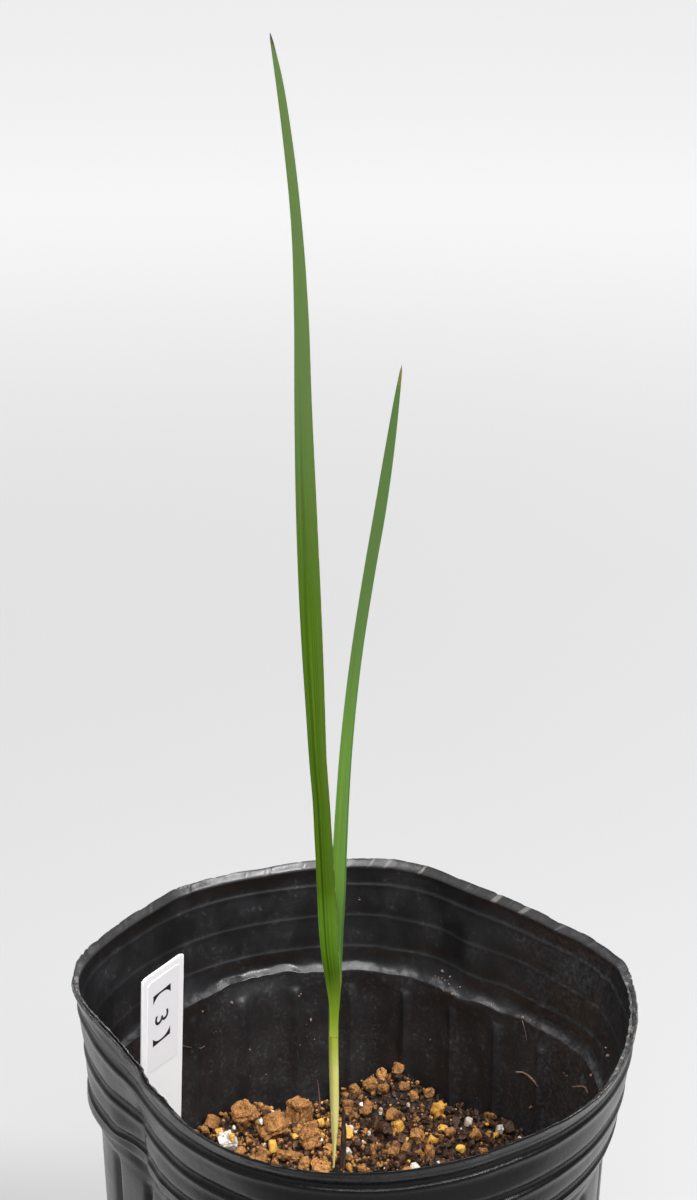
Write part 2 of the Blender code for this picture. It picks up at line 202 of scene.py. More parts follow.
class Bench:
    """A workbench on which one material's nodes are put together."""

    def __init__(self, name: str) -> None:
        """Start a material with a Principled shader.

        Args:
            name: The material's name.
        """
        self.material = bpy.data.materials.new(name)
        self.material.use_nodes = True
        self.tree = self.material.node_tree
        self.shader = self.tree.nodes["Principled BSDF"]

    def _feed(self, socket: bpy.types.NodeSocket, value: object) -> None:
        """Link a signal to a socket, or set the socket's own value.

        Args:
            socket: The input socket.
            value: A signal, a number, a colour or a vector.
        """
        if isinstance(value, Signal):
            self.tree.links.new(value.socket, socket)
        elif isinstance(value, tuple) and socket.type == "RGBA" and len(value) == 3:
            socket.default_value = (*value, 1.0)
        else:
            socket.default_value = value

    def node(self, kind: str, settings: dict[str, object], inputs: dict[int | str, object],
             output: int | str = 0) -> Signal:
        """Add any node.

        Args:
            kind: The node's type.
            settings: Its properties, which are set first.
            inputs: The values or signals of its sockets, by number or name.
            output: The number or name of the output to return.

        Returns:
            The chosen output.
        """
        made = self.tree.nodes.new(kind)
        for key, value in settings.items():
            setattr(made, key, value)
        for key, value in inputs.items():
            self._feed(made.inputs[key], value)
        return Signal(self, made.outputs[output])

    def place(self) -> Signal:
        """Return the surface point's place in the object's own frame."""
        return self.node("ShaderNodeTexCoord", {}, {}, "Object")

    def stretched(self, scale: tuple[float, float, float], vector: Signal | None = None) -> Signal:
        """Return coordinates that are scaled along each axis.

        Args:
            scale: The scale along each axis.
            vector: The coordinates, or the object's own where None.

        Returns:
            The scaled coordinates.
        """
        return self.node("ShaderNodeMapping", {"vector_type": "POINT"},
                         {"Vector": vector or self.place(), "Scale": scale}, "Vector")

    def axis(self, which: str, vector: Signal | None = None) -> Signal:
        """Return one coordinate of a vector, or of the surface point's place."""
        return self.node("ShaderNodeSeparateXYZ", {}, {0: vector or self.place()}, which)

    def reach(self) -> Signal:
        """Return the surface point's distance from the pot's axis."""
        place = self.place()
        across, back = self.axis("X", place), self.axis("Y", place)
        return (across * across + back * back).root()

    def outwardness(self) -> Signal:
        """Return how far the surface faces away from the pot's axis, from -1 to 1."""
        place, normal = self.place(), self.node("ShaderNodeNewGeometry", {}, {}, "Normal")
        along = self.axis("X", place) * self.axis("X", normal) + self.axis("Y", place) * self.axis("Y", normal)
        return along / self.reach()

    def leaning(self, lean: float, across: float, along: float) -> Signal:
        """Return coordinates for streaks that lean to one side as they run down the wall.

        Args:
            lean: How far aside they go for each length down.
            across: The scale around the pot.
            along: The scale along the streaks.

        Returns:
            The coordinates.
        """
        place = self.place()
        around = self.axis("X", place)._math("ARCTAN2", self.axis("Y", place), self.axis("X", place)) * 0.06
        down = self.axis("Z", place) * -1.0
        return self.node("ShaderNodeCombineXYZ", {}, {0: (around - down * lean) * across, 1: down * along})

    def sheet(self) -> Signal:
        """Return the coordinates of the piece's own UV map."""
        return self.node("ShaderNodeUVMap", {"uv_map": "UVMap"}, {}, "UV")

    def tint(self) -> Signal:
        """Return the number, from 0 to 1, that each granule has for itself."""
        return self.node("ShaderNodeAttribute", {"attribute_name": "tint"}, {}, "Fac")

    def noise(self, size: float, detail: float = 3.0, roughness: float = 0.55,
              vector: Signal | None = None) -> Signal:
        """Return smooth noise.

        Args:
            size: The size of its largest lumps, in metres.
            detail: How many finer layers it has.
            roughness: How strong the finer layers are.
            vector: The coordinates, or the object's own where None.

        Returns:
            The noise, from 0 to 1.
        """
        inputs = {"Vector": vector or self.place(), "Scale": 1.0 / size,
                  "Detail": detail, "Roughness": roughness}
        return self.node("ShaderNodeTexNoise", {}, inputs, "Fac")

    def specks(self, spacing: float, size: float, share: float) -> Signal:
        """Return small round specks.

        Args:
            spacing: The mean distance between places for a speck.
            size: The radius of a speck, as a share of the spacing.
            share: The share of the places that have one.

        Returns:
            1 on a speck and 0 elsewhere.
        """
        inputs = {"Vector": self.place(), "Scale": 1.0 / spacing}
        away = self.node("ShaderNodeTexVoronoi", {}, inputs, "Distance")
        lot = self.node("ShaderNodeTexVoronoi", {}, inputs, "Color")
        chosen = self.axis("X", lot).ramp(share + 0.01, share)
        return away.ramp(size, size * 0.6) * chosen

    def mix(self, share: Signal | float, first: Signal | Colour, second: Signal | Colour) -> Signal:
        """Return a colour between two others.

        Args:
            share: How much of the second there is.
            first: The colour where the share is 0.
            second: The colour where the share is 1.

        Returns:
            The mixed colour.
        """
        made = self.tree.nodes.new("ShaderNodeMix")
        made.data_type = "RGBA"
        self._feed(made.inputs["Factor"], share)
        for name, value in (("A", first), ("B", second)):
            socket = [s for s in made.inputs if s.name == name and s.type == "RGBA"][0]
            self._feed(socket, value)
        return Signal(self, [s for s in made.outputs if s.type == "RGBA"][0])

    def bump(self, height: Signal, depth: float, strength: float = 1.0) -> Signal:
        """Return a normal that shows a height.

        Args:
            height: The height, from 0 to 1.
            depth: How deep 1 is, in metres.
            strength: The strength of the whole effect.

        Returns:
            The normal.
        """
        inputs = {"Height": height, "Distance": depth, "Strength": strength}
        return self.node("ShaderNodeBump", {}, inputs, "Normal")

    def finish(self, sockets: dict[str, object]) -> bpy.types.Material:
        """Set the shader's sockets and return the material.

        Args:
            sockets: Values or signals, by the socket's name.

        Returns:
            The finished material.
        """
        for name, value in sockets.items():
            self._feed(self.shader.inputs[name], value)
        return self.material


@dataclass(frozen=True)
class PotPlastic:
    """Soft black plastic: satin outside, dusty inside, scuffed at the lip, with painted sheen on the inner lip and on
    up-facing inner surfaces.
    """

    black: Colour = (0.0035, 0.0035, 0.0040)
    dusty: Colour = (0.019, 0.0187, 0.0205)
    grey: Colour = (0.060, 0.059, 0.060)
    # Pale dust colour, also used for the painted sheen on up-facing inner surfaces.
    dust_and_sheen: Colour = (0.100, 0.098, 0.101)
    earth: Colour = (0.068, 0.0675, 0.072)
    pale: Colour = (0.24, 0.225, 0.205)

    def make(self, shape: "PotShape") -> bpy.types.Material:
        """Return the material.

        Args:
            shape: The pot's shape, whose heights bound the dusty, worn and painted-sheen places.

        Returns:
            The material.
        """
        bench = Bench("pot_plastic")
        height = bench.axis("Z")
        inside = bench.outwardness().ramp(0.12, -0.12)
        upward = bench.axis("Z", bench.node("ShaderNodeNewGeometry", {}, {}, "Normal")).ramp(0.50, 0.82)
        foot = shape.collar_foot
        blotch = bench.noise(8.0 * MM, 4.0, 0.6)
        grit = bench.noise(0.9 * MM, 5.0, 0.68)
        smear = bench.noise(1.0, 3.0, 0.6, bench.stretched((300.0, 300.0, 70.0)))
        ragged = height + (blotch - 0.5) * 0.004
        low = ragged.ramp(foot + 0.2 * MM, foot - 1.0 * MM)
        lip = height.ramp(shape.height - 1.9 * MM, shape.height - 1.4 * MM)
        right = bench.axis("X").ramp(-0.02, 0.02)
        scrape = bench.noise(1.0, 1.0, 0.5, bench.leaning(0.9, 330.0, 40.0)).ramp(0.56, 0.66)
        scuff = bench.noise(1.0, 2.0, 0.5, bench.stretched((300.0, 300.0, 1500.0))).ramp(0.66, 0.76)
        colour = bench.mix(inside * (0.50 + blotch.ramp(0.35, 0.65) * 0.50), self.black, self.dusty)
        colour = bench.mix(inside * blotch.ramp(0.50, 0.68) * grit.ramp(0.50, 0.66) * 0.22, colour, self.dust_and_sheen)
        colour = bench.mix(inside * low * smear.ramp(0.36, 0.70) * grit.ramp(0.46, 0.70) * 0.70, colour, self.earth)
        patch = bench.noise(3.2 * MM, 3.0, 0.6)
        powder = bench.noise(1.7 * MM, 3.0, 0.65).ramp(0.58, 0.74) * blotch.ramp(0.40, 0.60)
        colour = bench.mix(inside * powder * 0.50, colour, self.dust_and_sheen)
        colour = bench.mix(inside * grit.ramp(0.685, 0.74) * 0.60, colour, self.pale)
        east = bench.axis("X").ramp(0.030, 0.052)
        colour = bench.mix(inside * east * grit.ramp(0.40, 0.66) * 0.40, colour, self.dust_and_sheen)
        # Up-facing inner surfaces, the ledge most of all, are painted lighter: partly real dust, partly a painted
        # highlight where the overhead light falls on them.
        colour = bench.mix(inside * upward * (0.08 + patch.ramp(0.42, 0.66) * 0.62), colour, self.dust_and_sheen)
        colour = bench.mix(scuff * blotch.ramp(0.50, 0.70) * 0.12, colour, self.grey)
        # The inner lip is painted grey, more so towards the back, and its scratches are painted pale towards the back
        # right: painted sheen and painted highlights where the lip catches the overhead light. The scratches themselves
        # are real and also in the bump.
        back = bench.axis("Y").ramp(0.0, 0.035)
        colour = bench.mix(inside * lip * (0.10 + back * 0.45), colour, self.grey)
        colour = bench.mix(inside * lip * scrape * (0.15 + right * 0.55) * back, colour, self.pale)
        ends = abs(bench.axis("X") + 0.001).ramp(0.036, 0.048) * bench.axis("Y").ramp(0.016, 0.004)
        worn = ends * upward * height.ramp(shape.height - 1.3 * MM, shape.height - 0.9 * MM)
        colour = bench.mix(worn * (0.45 + grit.ramp(0.40, 0.60) * 0.40), colour, self.dust_and_sheen)
        colour = bench.mix(worn * bench.noise(1.3 * MM, 3.0, 0.6).ramp(0.52, 0.64), colour, self.pale)
        grain = bench.noise(0.55 * MM, 3.0)
        return bench.finish({
            "Base Color": colour,
            "Roughness": 0.22 + blotch.ramp(0.35, 0.75) * 0.08 + inside * (0.08 + low * 0.16 - upward * 0.12)
            + grain * 0.05,
            "Normal": bench.bump(grain + bench.noise(4.0 * MM, 2.0) * 2.5 + scrape * lip * 2.0, 0.045 * MM, 0.7)})


class Earth(Enum):
    """The kinds of grain in the potting mix."""

    CLAY = "baked_clay"
    HUMUS = "humus"
    PUMICE = "pumice"
    YELLOW = "yellow_pumice"


@dataclass(frozen=True)
class GrainSkin:
    """The finish of one kind of grain, with a painted lighter top and painted shade in its pits and crevices."""

    kind: Earth
    dark: Colour
    light: Colour
    # The dark colour painted into pits and crevices as painted shade.
    pit_shade: Colour
    roughness: float = 0.92
    pit_shade_share: float = 0.5
    relief: float = 1.0
    crumb: float = 0.00060

    def make(self) -> bpy.types.Material:
        """Return the material."""
        bench = Bench(f"{self.kind.value}_grains")
        coarse = bench.noise(1.3 * MM, 4.0, 0.65)
        fine = bench.noise(0.36 * MM, 3.0, 0.6)
        # top is 1 on faces that face up and lightens each grain's top: a painted highlight of the light from above.
        top = bench.axis("Z", bench.node("ShaderNodeNewGeometry", {}, {}, "Normal")).ramp(-0.3, 0.95)
        scale = {"Vector": bench.place(), "Scale": 1.0 / self.crumb}
        away = bench.node("ShaderNodeTexVoronoi", {}, scale, "Distance")
        own = bench.axis("X", bench.node("ShaderNodeTexVoronoi", {}, scale, "Color"))
        share = bench.tint() * 0.60 + coarse.ramp(0.35, 0.70) * 0.26 + top * 0.26 + (own - 0.5) * 0.22 + 0.04
        colour = bench.mix(share, self.dark, self.light)
        # Darker in the low pits of the fine noise and in the crevices between the Voronoi crumbs, both sunk in the
        # bump: painted shade.
        colour = bench.mix(fine.ramp(0.50, 0.32) * self.pit_shade_share, colour, self.pit_shade)
        colour = bench.mix(away.ramp(0.45, 0.75) * self.pit_shade_share * 0.4, colour, self.pit_shade)
        colour = bench.mix(fine.ramp(0.58, 0.72) * 0.50, colour, self.light)
        return bench.finish({
            "Base Color": colour,
            "Roughness": self.roughness,
            "Normal": bench.bump(fine * 0.6 + coarse * 0.4 - away * 0.2, 0.55 * self.relief * MM)})


GRAIN_SKINS = {
    Earth.CLAY: GrainSkin(Earth.CLAY, (0.075, 0.026, 0.009), (0.660, 0.305, 0.088), (0.026, 0.011, 0.006),
                          pit_shade_share=0.66),
    Earth.HUMUS: GrainSkin(Earth.HUMUS, (0.008, 0.0056, 0.0040), (0.110, 0.046, 0.020), (0.004, 0.0030, 0.0022),
                           0.38),
    Earth.PUMICE: GrainSkin(Earth.PUMICE, (0.42, 0.30, 0.21), (0.86, 0.82, 0.74), (0.25, 0.17, 0.10),
                            0.85, 0.30, 0.5),
    Earth.YELLOW: GrainSkin(Earth.YELLOW, (0.50, 0.215, 0.022), (0.92, 0.52, 0.095), (0.38, 0.15, 0.03),
                            0.80, 0.30, 0.7),
}


@dataclass(frozen=True)
class BedSoil:
    """The dark fine soil under and between the grains."""

    dark: Colour = (0.009, 0.006, 0.004)
    brown: Colour = (0.075, 0.034, 0.016)
    orange: Colour = (0.260, 0.105, 0.035)

    def make(self) -> bpy.types.Material:
        """Return the material."""
        bench = Bench("bed_soil")
        lumps = bench.noise(1.2 * MM, 5.0, 0.7)
        own = bench.tint()
        colour = bench.mix(own.ramp(0.25, 0.65) * 0.8 + lumps.ramp(0.5, 0.7) * 0.2, self.dark, self.brown)
        colour = bench.mix(own.ramp(0.62, 0.95), colour, self.orange)
        colour = bench.mix(lumps.ramp(0.50, 0.36) * 0.7, colour, self.dark)
        return bench.finish({
            "Base Color": colour,
            "Roughness": 0.60 + lumps.ramp(0.4, 0.6) * 0.3,
            "Normal": bench.bump(lumps, 0.7 * MM)})


@dataclass(frozen=True)
class LeafSkin:
    """The skin of a strap leaf: long veins, a worn edge, a dry tip and a painted shade along its fold."""

    name: str
    deep: Colour
    fresh: Colour
    grey: Colour
    edge: Colour
    tip: Colour
    tip_start: float
    grey_start: float
    edge_wear: float
    pale: Colour
    fold: float
    shade: float

    def make(self) -> bpy.types.Material:
        """Return the material."""
        bench = Bench(self.name)
        sheet = bench.sheet()
        across, along = bench.axis("X", sheet), bench.axis("Y", sheet)
        veins = bench.noise(1.0, 2.0, 0.5, bench.stretched((30.0, 4.0, 1.0), sheet))
        ribs = bench.noise(1.0, 1.0, 0.5, bench.stretched((70.0, 1.5, 1.0), sheet))
        cloud = bench.noise(1.0, 3.0, 0.6, bench.stretched((3.0, 22.0, 1.0), sheet))
        worn = bench.noise(1.0, 3.0, 0.6, bench.stretched((5.0, 75.0, 1.0), sheet)).ramp(0.50, 0.62)
        colour = bench.mix(veins.ramp(0.34, 0.66), self.deep, self.fresh)
        colour = bench.mix(across.ramp(0.52, 0.80) * 0.65, colour, self.pale)
        colour = bench.mix(along.ramp(self.grey_start, self.grey_start + 0.30) * 0.80, colour, self.grey)
        colour = bench.mix(cloud.ramp(0.50, 0.72) * 0.18, colour, self.grey)
        # A painted shade along the fold's valley, strongest low on the blade.
        fold_valley_shade = abs(across - self.fold).ramp(0.085, 0.015) * along.ramp(0.72, 0.30)
        colour = bench.mix(fold_valley_shade * self.shade, colour, tuple(0.35 * part for part in self.deep))
        margin = across.ramp(0.935, 0.985)
        colour = bench.mix(margin * worn * self.edge_wear, colour, self.edge)
        margin_left = across.ramp(0.055, 0.015)
        colour = bench.mix(margin_left * 0.30, colour, self.grey)
        flecks = bench.noise(1.0, 2.0, 0.5, bench.stretched((22.0, 130.0, 1.0), sheet)).ramp(0.735, 0.80)
        colour = bench.mix(flecks * 0.55, colour, self.edge)
        dry = (along + (across - 0.5) * 0.012).ramp(self.tip_start, min(self.tip_start + 0.028, 1.0))
        colour = bench.mix(dry, colour, self.tip)
        level = bench.axis("Z")
        foot = bench.mix(level.ramp(0.1378, 0.1290), FOOT_GREEN, STEM_YELLOW)
        colour = bench.mix(level.ramp(0.1490, 0.1372), colour, foot)
        return bench.finish({
            "Base Color": colour,
            "Roughness": 0.38 + ribs * 0.16 + cloud * 0.06,
            "Specular IOR Level": 0.25,
            "Normal": bench.bump(ribs * 0.7 + veins * 0.3, 0.07 * MM, 0.8)})


FOOT_GREEN: Colour = (0.225, 0.360, 0.024)
STEM_YELLOW: Colour = (0.430, 0.520, 0.065)


@dataclass(frozen=True)
class StemSkin:
    """Green leaf bases that turn yellow and cream towards the soil."""

    green: Colour = FOOT_GREEN
    yellow: Colour = STEM_YELLOW
    cream: Colour = (0.740, 0.720, 0.220)
    pale: Colour = (0.820, 0.760, 0.280)
    brown: Colour = (0.30, 0.19, 0.09)

    def make(self) -> bpy.types.Material:
        """Return the material."""
        bench = Bench("stem_skin")
        height = bench.axis("Z") + (bench.noise(3.0 * MM, 2.0) - 0.5) * 0.004
        specks = bench.specks(0.55 * MM, 0.30, 0.35)
        lines = bench.noise(1.0, 2.0, 0.5, bench.stretched((2600.0, 2600.0, 60.0)))
        colour = bench.mix(height.ramp(0.1378, 0.1290), self.green, self.yellow)
        colour = bench.mix(height.ramp(0.1290, 0.1205), colour, self.cream)
        colour = bench.mix(height.ramp(0.1195, 0.1105), colour, self.pale)
        colour = bench.mix(lines.ramp(0.5, 0.75) * 0.22, colour, self.yellow)
        colour = bench.mix(specks * height.ramp(0.116, 0.100) * 0.40, colour, self.brown)
        return bench.finish({
            "Base Color": colour,
            "Roughness": 0.42 + lines * 0.12,
            "Specular IOR Level": 0.35,
            "Normal": bench.bump(lines, 0.05 * MM, 0.7)})


@dataclass(frozen=True)
class DryFibre:
    """Papery or woody brown remains."""

    name: str = "dry_sheath"
    dark: Colour = (0.020, 0.010, 0.010)
    tan: Colour = (0.115, 0.058, 0.040)

    def make(self) -> bpy.types.Material:
        """Return the material."""
        bench = Bench(self.name)
        streaks = bench.noise(1.0, 3.0, 0.6, bench.stretched((2200.0, 2200.0, 260.0)))
        return bench.finish({
            "Base Color": bench.mix(streaks.ramp(0.45, 0.72), self.dark, self.tan),
            "Roughness": 0.80,
            "Normal": bench.bump(streaks, 0.12 * MM)})


@dataclass(frozen=True)
class LabelPlastic:
    """White plastic or tape, faintly soiled near the soil."""

    name: str
    colour: Colour
    soiled: Colour = (0.42, 0.35, 0.28)
    roughness: float = 0.34

    def make(self) -> bpy.types.Material:
        """Return the material."""
        bench = Bench(self.name)
        low = bench.axis("Z").ramp(0.118, 0.094)
        marks = bench.noise(0.9 * MM, 4.0, 0.65).ramp(0.58, 0.74)
        grain = bench.noise(0.7 * MM, 2.0)
        return bench.finish({
            "Base Color": bench.mix(marks * (0.05 + low * 0.6), self.colour, self.soiled),
            "Roughness": self.roughness + marks * 0.12,
            "Normal": bench.bump(grain, 0.015 * MM, 0.4)})


@dataclass(frozen=True)
class Ink:
    """Black print."""

    black: Colour = (0.010, 0.010, 0.012)
    grey: Colour = (0.030, 0.029, 0.032)

    def make(self) -> bpy.types.Material:
        """Return the material."""
        bench = Bench("label_ink")
        wear = bench.noise(0.5 * MM, 3.0).ramp(0.5, 0.8)
        return bench.finish({"Base Color": bench.mix(wear * 0.5, self.black, self.grey),
                             "Roughness": 0.40 + wear * 0.15})


def deselect() -> None:
    """Deselect every object."""
    bpy.ops.object.select_all(action="DESELECT")


def select_only(piece: bpy.types.Object) -> None:
    """Make one object the only selected one, and the active one."""
    deselect()
    piece.select_set(True)
    bpy.context.view_layer.objects.active = piece


@contextmanager
def editing(piece: bpy.types.Object) -> Iterator[None]:
    """Open an object in edit mode, and close it again.

    Args:
        piece: The object.
    """
    select_only(piece)
    bpy.ops.object.mode_set(mode="EDIT")
    yield
    bpy.ops.object.mode_set(mode="OBJECT")


def apply_modifier(piece: bpy.types.Object, kind: str, **settings: object) -> None:
    """Add a modifier and apply it.

    Args:
        piece: The object.
        kind: The modifier's type.
        settings: The modifier's properties.
    """
    select_only(piece)
    modifier = piece.modifiers.new(kind.title(), kind)
    for key, value in settings.items():
        setattr(modifier, key, value)
    bpy.ops.object.modifier_apply(modifier=modifier.name)


def points_of(piece: bpy.types.Object) -> Array:
    """Return a mesh's points as rows of x, y and z."""
    flat = np.empty(len(piece.data.vertices) * 3)
    piece.data.vertices.foreach_get("co", flat)
    return flat.reshape(-1, 3)


def set_points(piece: bpy.types.Object, points: Array) -> None:
    """Put a mesh's points in new places.

    Args:
        piece: The object.
        points: Rows of x, y and z.
    """
    piece.data.vertices.foreach_set("co", np.asarray(points, dtype=float).ravel())
    piece.data.update()


def settle(piece: bpy.types.Object) -> None:
    """Move an object's place, turn and scale into its mesh."""
    select_only(piece)
    bpy.ops.object.transform_apply(location=True, rotation=True, scale=True)


def hand_over(piece: bpy.types.Object, name: str, material: bpy.types.Material, slot: Slot,
              replaces: Sequence[Node] = (), smooth: float = 40.0) -> bpy.types.Object:
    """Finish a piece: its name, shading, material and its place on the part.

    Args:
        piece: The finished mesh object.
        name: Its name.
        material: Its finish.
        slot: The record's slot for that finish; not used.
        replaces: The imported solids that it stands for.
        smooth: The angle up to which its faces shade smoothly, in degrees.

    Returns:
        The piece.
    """
    settle(piece)
    piece.name = piece.data.name = name
    bpy.ops.object.shade_smooth_by_angle(angle=math.radians(smooth))
    piece.data.materials.clear()
    piece.data.materials.append(material)
    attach(piece, BODY)
    if replaces:
        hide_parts(*(node.value for node in replaces))
    LOG.info("%s: %d faces", name, len(piece.data.polygons))
    deselect()
    return piece


def curve_through(knots: Sequence[float], values: Sequence[float], where: Array) -> Array:
    """Return a smooth curve's values, with the slope at each knot from its neighbours.

    Args:
        knots: The rising places of the known values.
        values: The known values.
        where: The places to read the curve at.

    Returns:
        The values at those places.
    """
    knots, values = np.asarray(knots, float), np.asarray(values, float)
    slopes = np.gradient(values, knots)
    index = np.clip(np.searchsorted(knots, where) - 1, 0, len(knots) - 2)
    span = knots[index + 1] - knots[index]
    share = np.clip((where - knots[index]) / span, 0.0, 1.0)
    rise = share * share * (3.0 - 2.0 * share)
    start = share * (1.0 - share) ** 2 * span * slopes[index]
    end = share * share * (share - 1.0) * span * slopes[index + 1]
    return values[index] * (1.0 - rise) + values[index + 1] * rise + start + end


def smooth_step(low: float, high: float, value: Array | float) -> Array | float:
    """Return 0 below low, 1 above high and a smooth rise between."""
    share = np.clip((np.asarray(value) - low) / (high - low), 0.0, 1.0)
    return share * share * (3.0 - 2.0 * share)


@dataclass(frozen=True)
class Ring:
    """One level ring of a turned or extruded piece."""

    centre: Vector
    radius: float


def extruded(rings: Sequence[Ring], sides: int) -> bpy.types.Object:
    """Extrude a disc through a row of rings, which closes the piece at both ends.

    Args:
        rings: The rings, from the first to the last.
        sides: The number of points in each ring.

    Returns:
        The new object.
    """
    first = rings[0]
    bpy.ops.mesh.primitive_circle_add(vertices=sides, radius=first.radius, fill_type="NGON",
                                      location=first.centre)
    piece = bpy.context.object
    with editing(piece):
        bpy.ops.mesh.select_all(action="SELECT")
        for before, after in zip(rings, rings[1:]):
            step = after.centre - before.centre
            bpy.ops.mesh.extrude_region_move(TRANSFORM_OT_translate={"value": step})
            ratio = after.radius / before.radius
            bpy.ops.transform.resize(value=(ratio, ratio, 1.0), center_override=after.centre)
        bpy.ops.mesh.select_all(action="SELECT")
        bpy.ops.mesh.normals_make_consistent(inside=False)
    settle(piece)
    return piece


@dataclass(frozen=True)
class Dent:
    """A place where the soft wall is pressed in; bearings are in degrees."""

    rim_bearing: float
    foot_bearing: float
    rim_depth: float
    foot_depth: float
    clockwise: float
    anticlockwise: float
    bluntness: float

    def depth(self, bearing: Array, down: Array) -> Array:
        """Return how deep the dent is.

        Args:
            bearing: Bearings in degrees.
            down: How far below the rim each point is, as a share of the collar.

        Returns:
            The depth at each point.
        """
        middle = self.rim_bearing + (self.foot_bearing - self.rim_bearing) * down
        deepest = self.rim_depth + (self.foot_depth - self.rim_depth) * down
        away = (bearing - middle + 180.0) % 360.0 - 180.0
        share = np.minimum(np.abs(away) / np.where(away < 0.0, self.clockwise, self.anticlockwise), 1.0)
        return deepest * np.clip(0.5 + 0.5 * np.cos(math.pi * share), 0.0, 1.0) ** self.bluntness


@dataclass(frozen=True)
class Crease:
    """A short upright kink in the soft wall, sharper on one side."""

    bearing: float
    height: float
    half_width: float
    half_height: float
    depth: float
    sharpness: float = 1.0

    def press(self, bearing: Array, height: Array) -> Array:
        """Return how far the kink presses the wall in at each bearing and height."""
        away = ((bearing - self.bearing + 180.0) % 360.0 - 180.0) / self.half_width
        away = np.where(away > 0.0, away * self.sharpness, away)
        up = (height - self.height) / self.half_height
        return self.depth * np.exp(-away * away) * np.exp(-up * up)


@dataclass(frozen=True)
class Survey:
    """How far the soft wall stands out at one depth below the rim: bearings and millimetres."""

    depth: float
    stands: tuple[tuple[float, float], ...]

    def read(self, bearing: Array) -> Array:
        """Return how far the wall stands out at each bearing, in metres."""
        knots, values = np.array(self.stands).T
        knots = np.concatenate([knots[-3:] - 360.0, knots, knots[:3] + 360.0])
        values = np.concatenate([values[-3:], values, values[:3]])
        return curve_through(knots, values, bearing) * MM


SURVEYS = (
    Survey(0.0, (
        (-160, -.44), (-156, -.29), (-151, -.49), (-148, -.65), (-142, .10), (-134, -.06), (-126.5, .5),
        (-119, .7), (-109.5, .6), (-100, .14), (-90, -.27), (-80, -.5), (-70, -.72), (-60, -1.1),
        (-55, -.94), (-50, -.65), (-45, -.18), (-38, .2), (-28, 0), (4, 0), (10, .25), (14, -.1), (18, .1),
        (26, .35), (30, -.1), (36, .3), (44, .2), (50, .2), (56, -.15), (62, .05), (66, .4), (70, .7),
        (75, .5), (79, .1), (86, .4), (96, .3), (102, .25), (108, -.1), (112, -.3), (118, .15), (122, .35),
        (126, .65), (129, .75), (135, .78), (138, .2), (142, -.4), (146, -.62), (154, -.65), (158, -.4),
        (164, .35), (172, .4), (178, .2))),
    Survey(0.0059, (
        (-174.5, -.44), (-167, .24), (-158, .73), (-153, .32), (-148, 0), (-143, .13), (-136, .5), (-129, .62),
        (-120, .29), (-112, -.12), (-105, -.79), (-95, -1.16), (-71.5, -1.11), (-59, -1.2), (-45, -.5), (-30, 0),
        (0, 0), (15, -.3), (20, .25), (30, .32), (40, .28), (50, .07), (57, -.25), (61, 0), (67, .5), (72, .53),
        (80, -.13), (90, .08), (100, .22), (110, .42), (120, .98), (129, 1.05), (140, .55), (150, .15),
        (159, .84), (163.5, .87), (175, 0))),
    Survey(0.0136, (
        (-174, -.46), (-168.5, -.18), (-162.6, .19), (-157.5, -.2), (-154.4, -.55), (-147.7, -1.0), (-141, -.44),
        (-135, -.13), (-130, .04), (-124, -.07), (-118, -.48), (-100, -.6), (-60, -.6), (-40, 0), (0, 0),
        (19, -.89), (30, -.36), (38, .3), (45, .04), (54.5, -.79), (58, -.9), (62, -.1), (67, .6), (72, .18),
        (80, -.48), (90, .05), (105, .05), (115, .31), (125, .66), (134.5, .71), (145, .43), (155, .23),
        (164, .38))),
    Survey(0.0214, (
        (-164.6, .15), (-159, .36), (-155.7, -.32), (-152.6, -1.05), (-144.7, -.7), (-140.4, -.18),
        (-134.5, .29), (-129.5, .31), (-110, 0), (-60, 0), (0, 0), (30, -.4), (38, -.46), (45, -.05), (51, -1.0),
        (56, -1.1), (60, -.3), (65, .5), (72, .37), (80, -1.1), (90, -.73), (100, -.59), (110, -.25), (120, .06),
        (130, .45), (150, .2))),
    Survey(0.0264, (
        (-160, .1), (-152, -.8), (-145, -.5), (-135, .2), (-110, 0), (0, 0), (45, 0), (58, -.9), (66, -.53),
        (72, .35), (80, -.39), (90, -.6), (100, -.27), (110, 1.2), (117, 1.35), (125, .62), (133, -.49),
        (150, 0))),
)


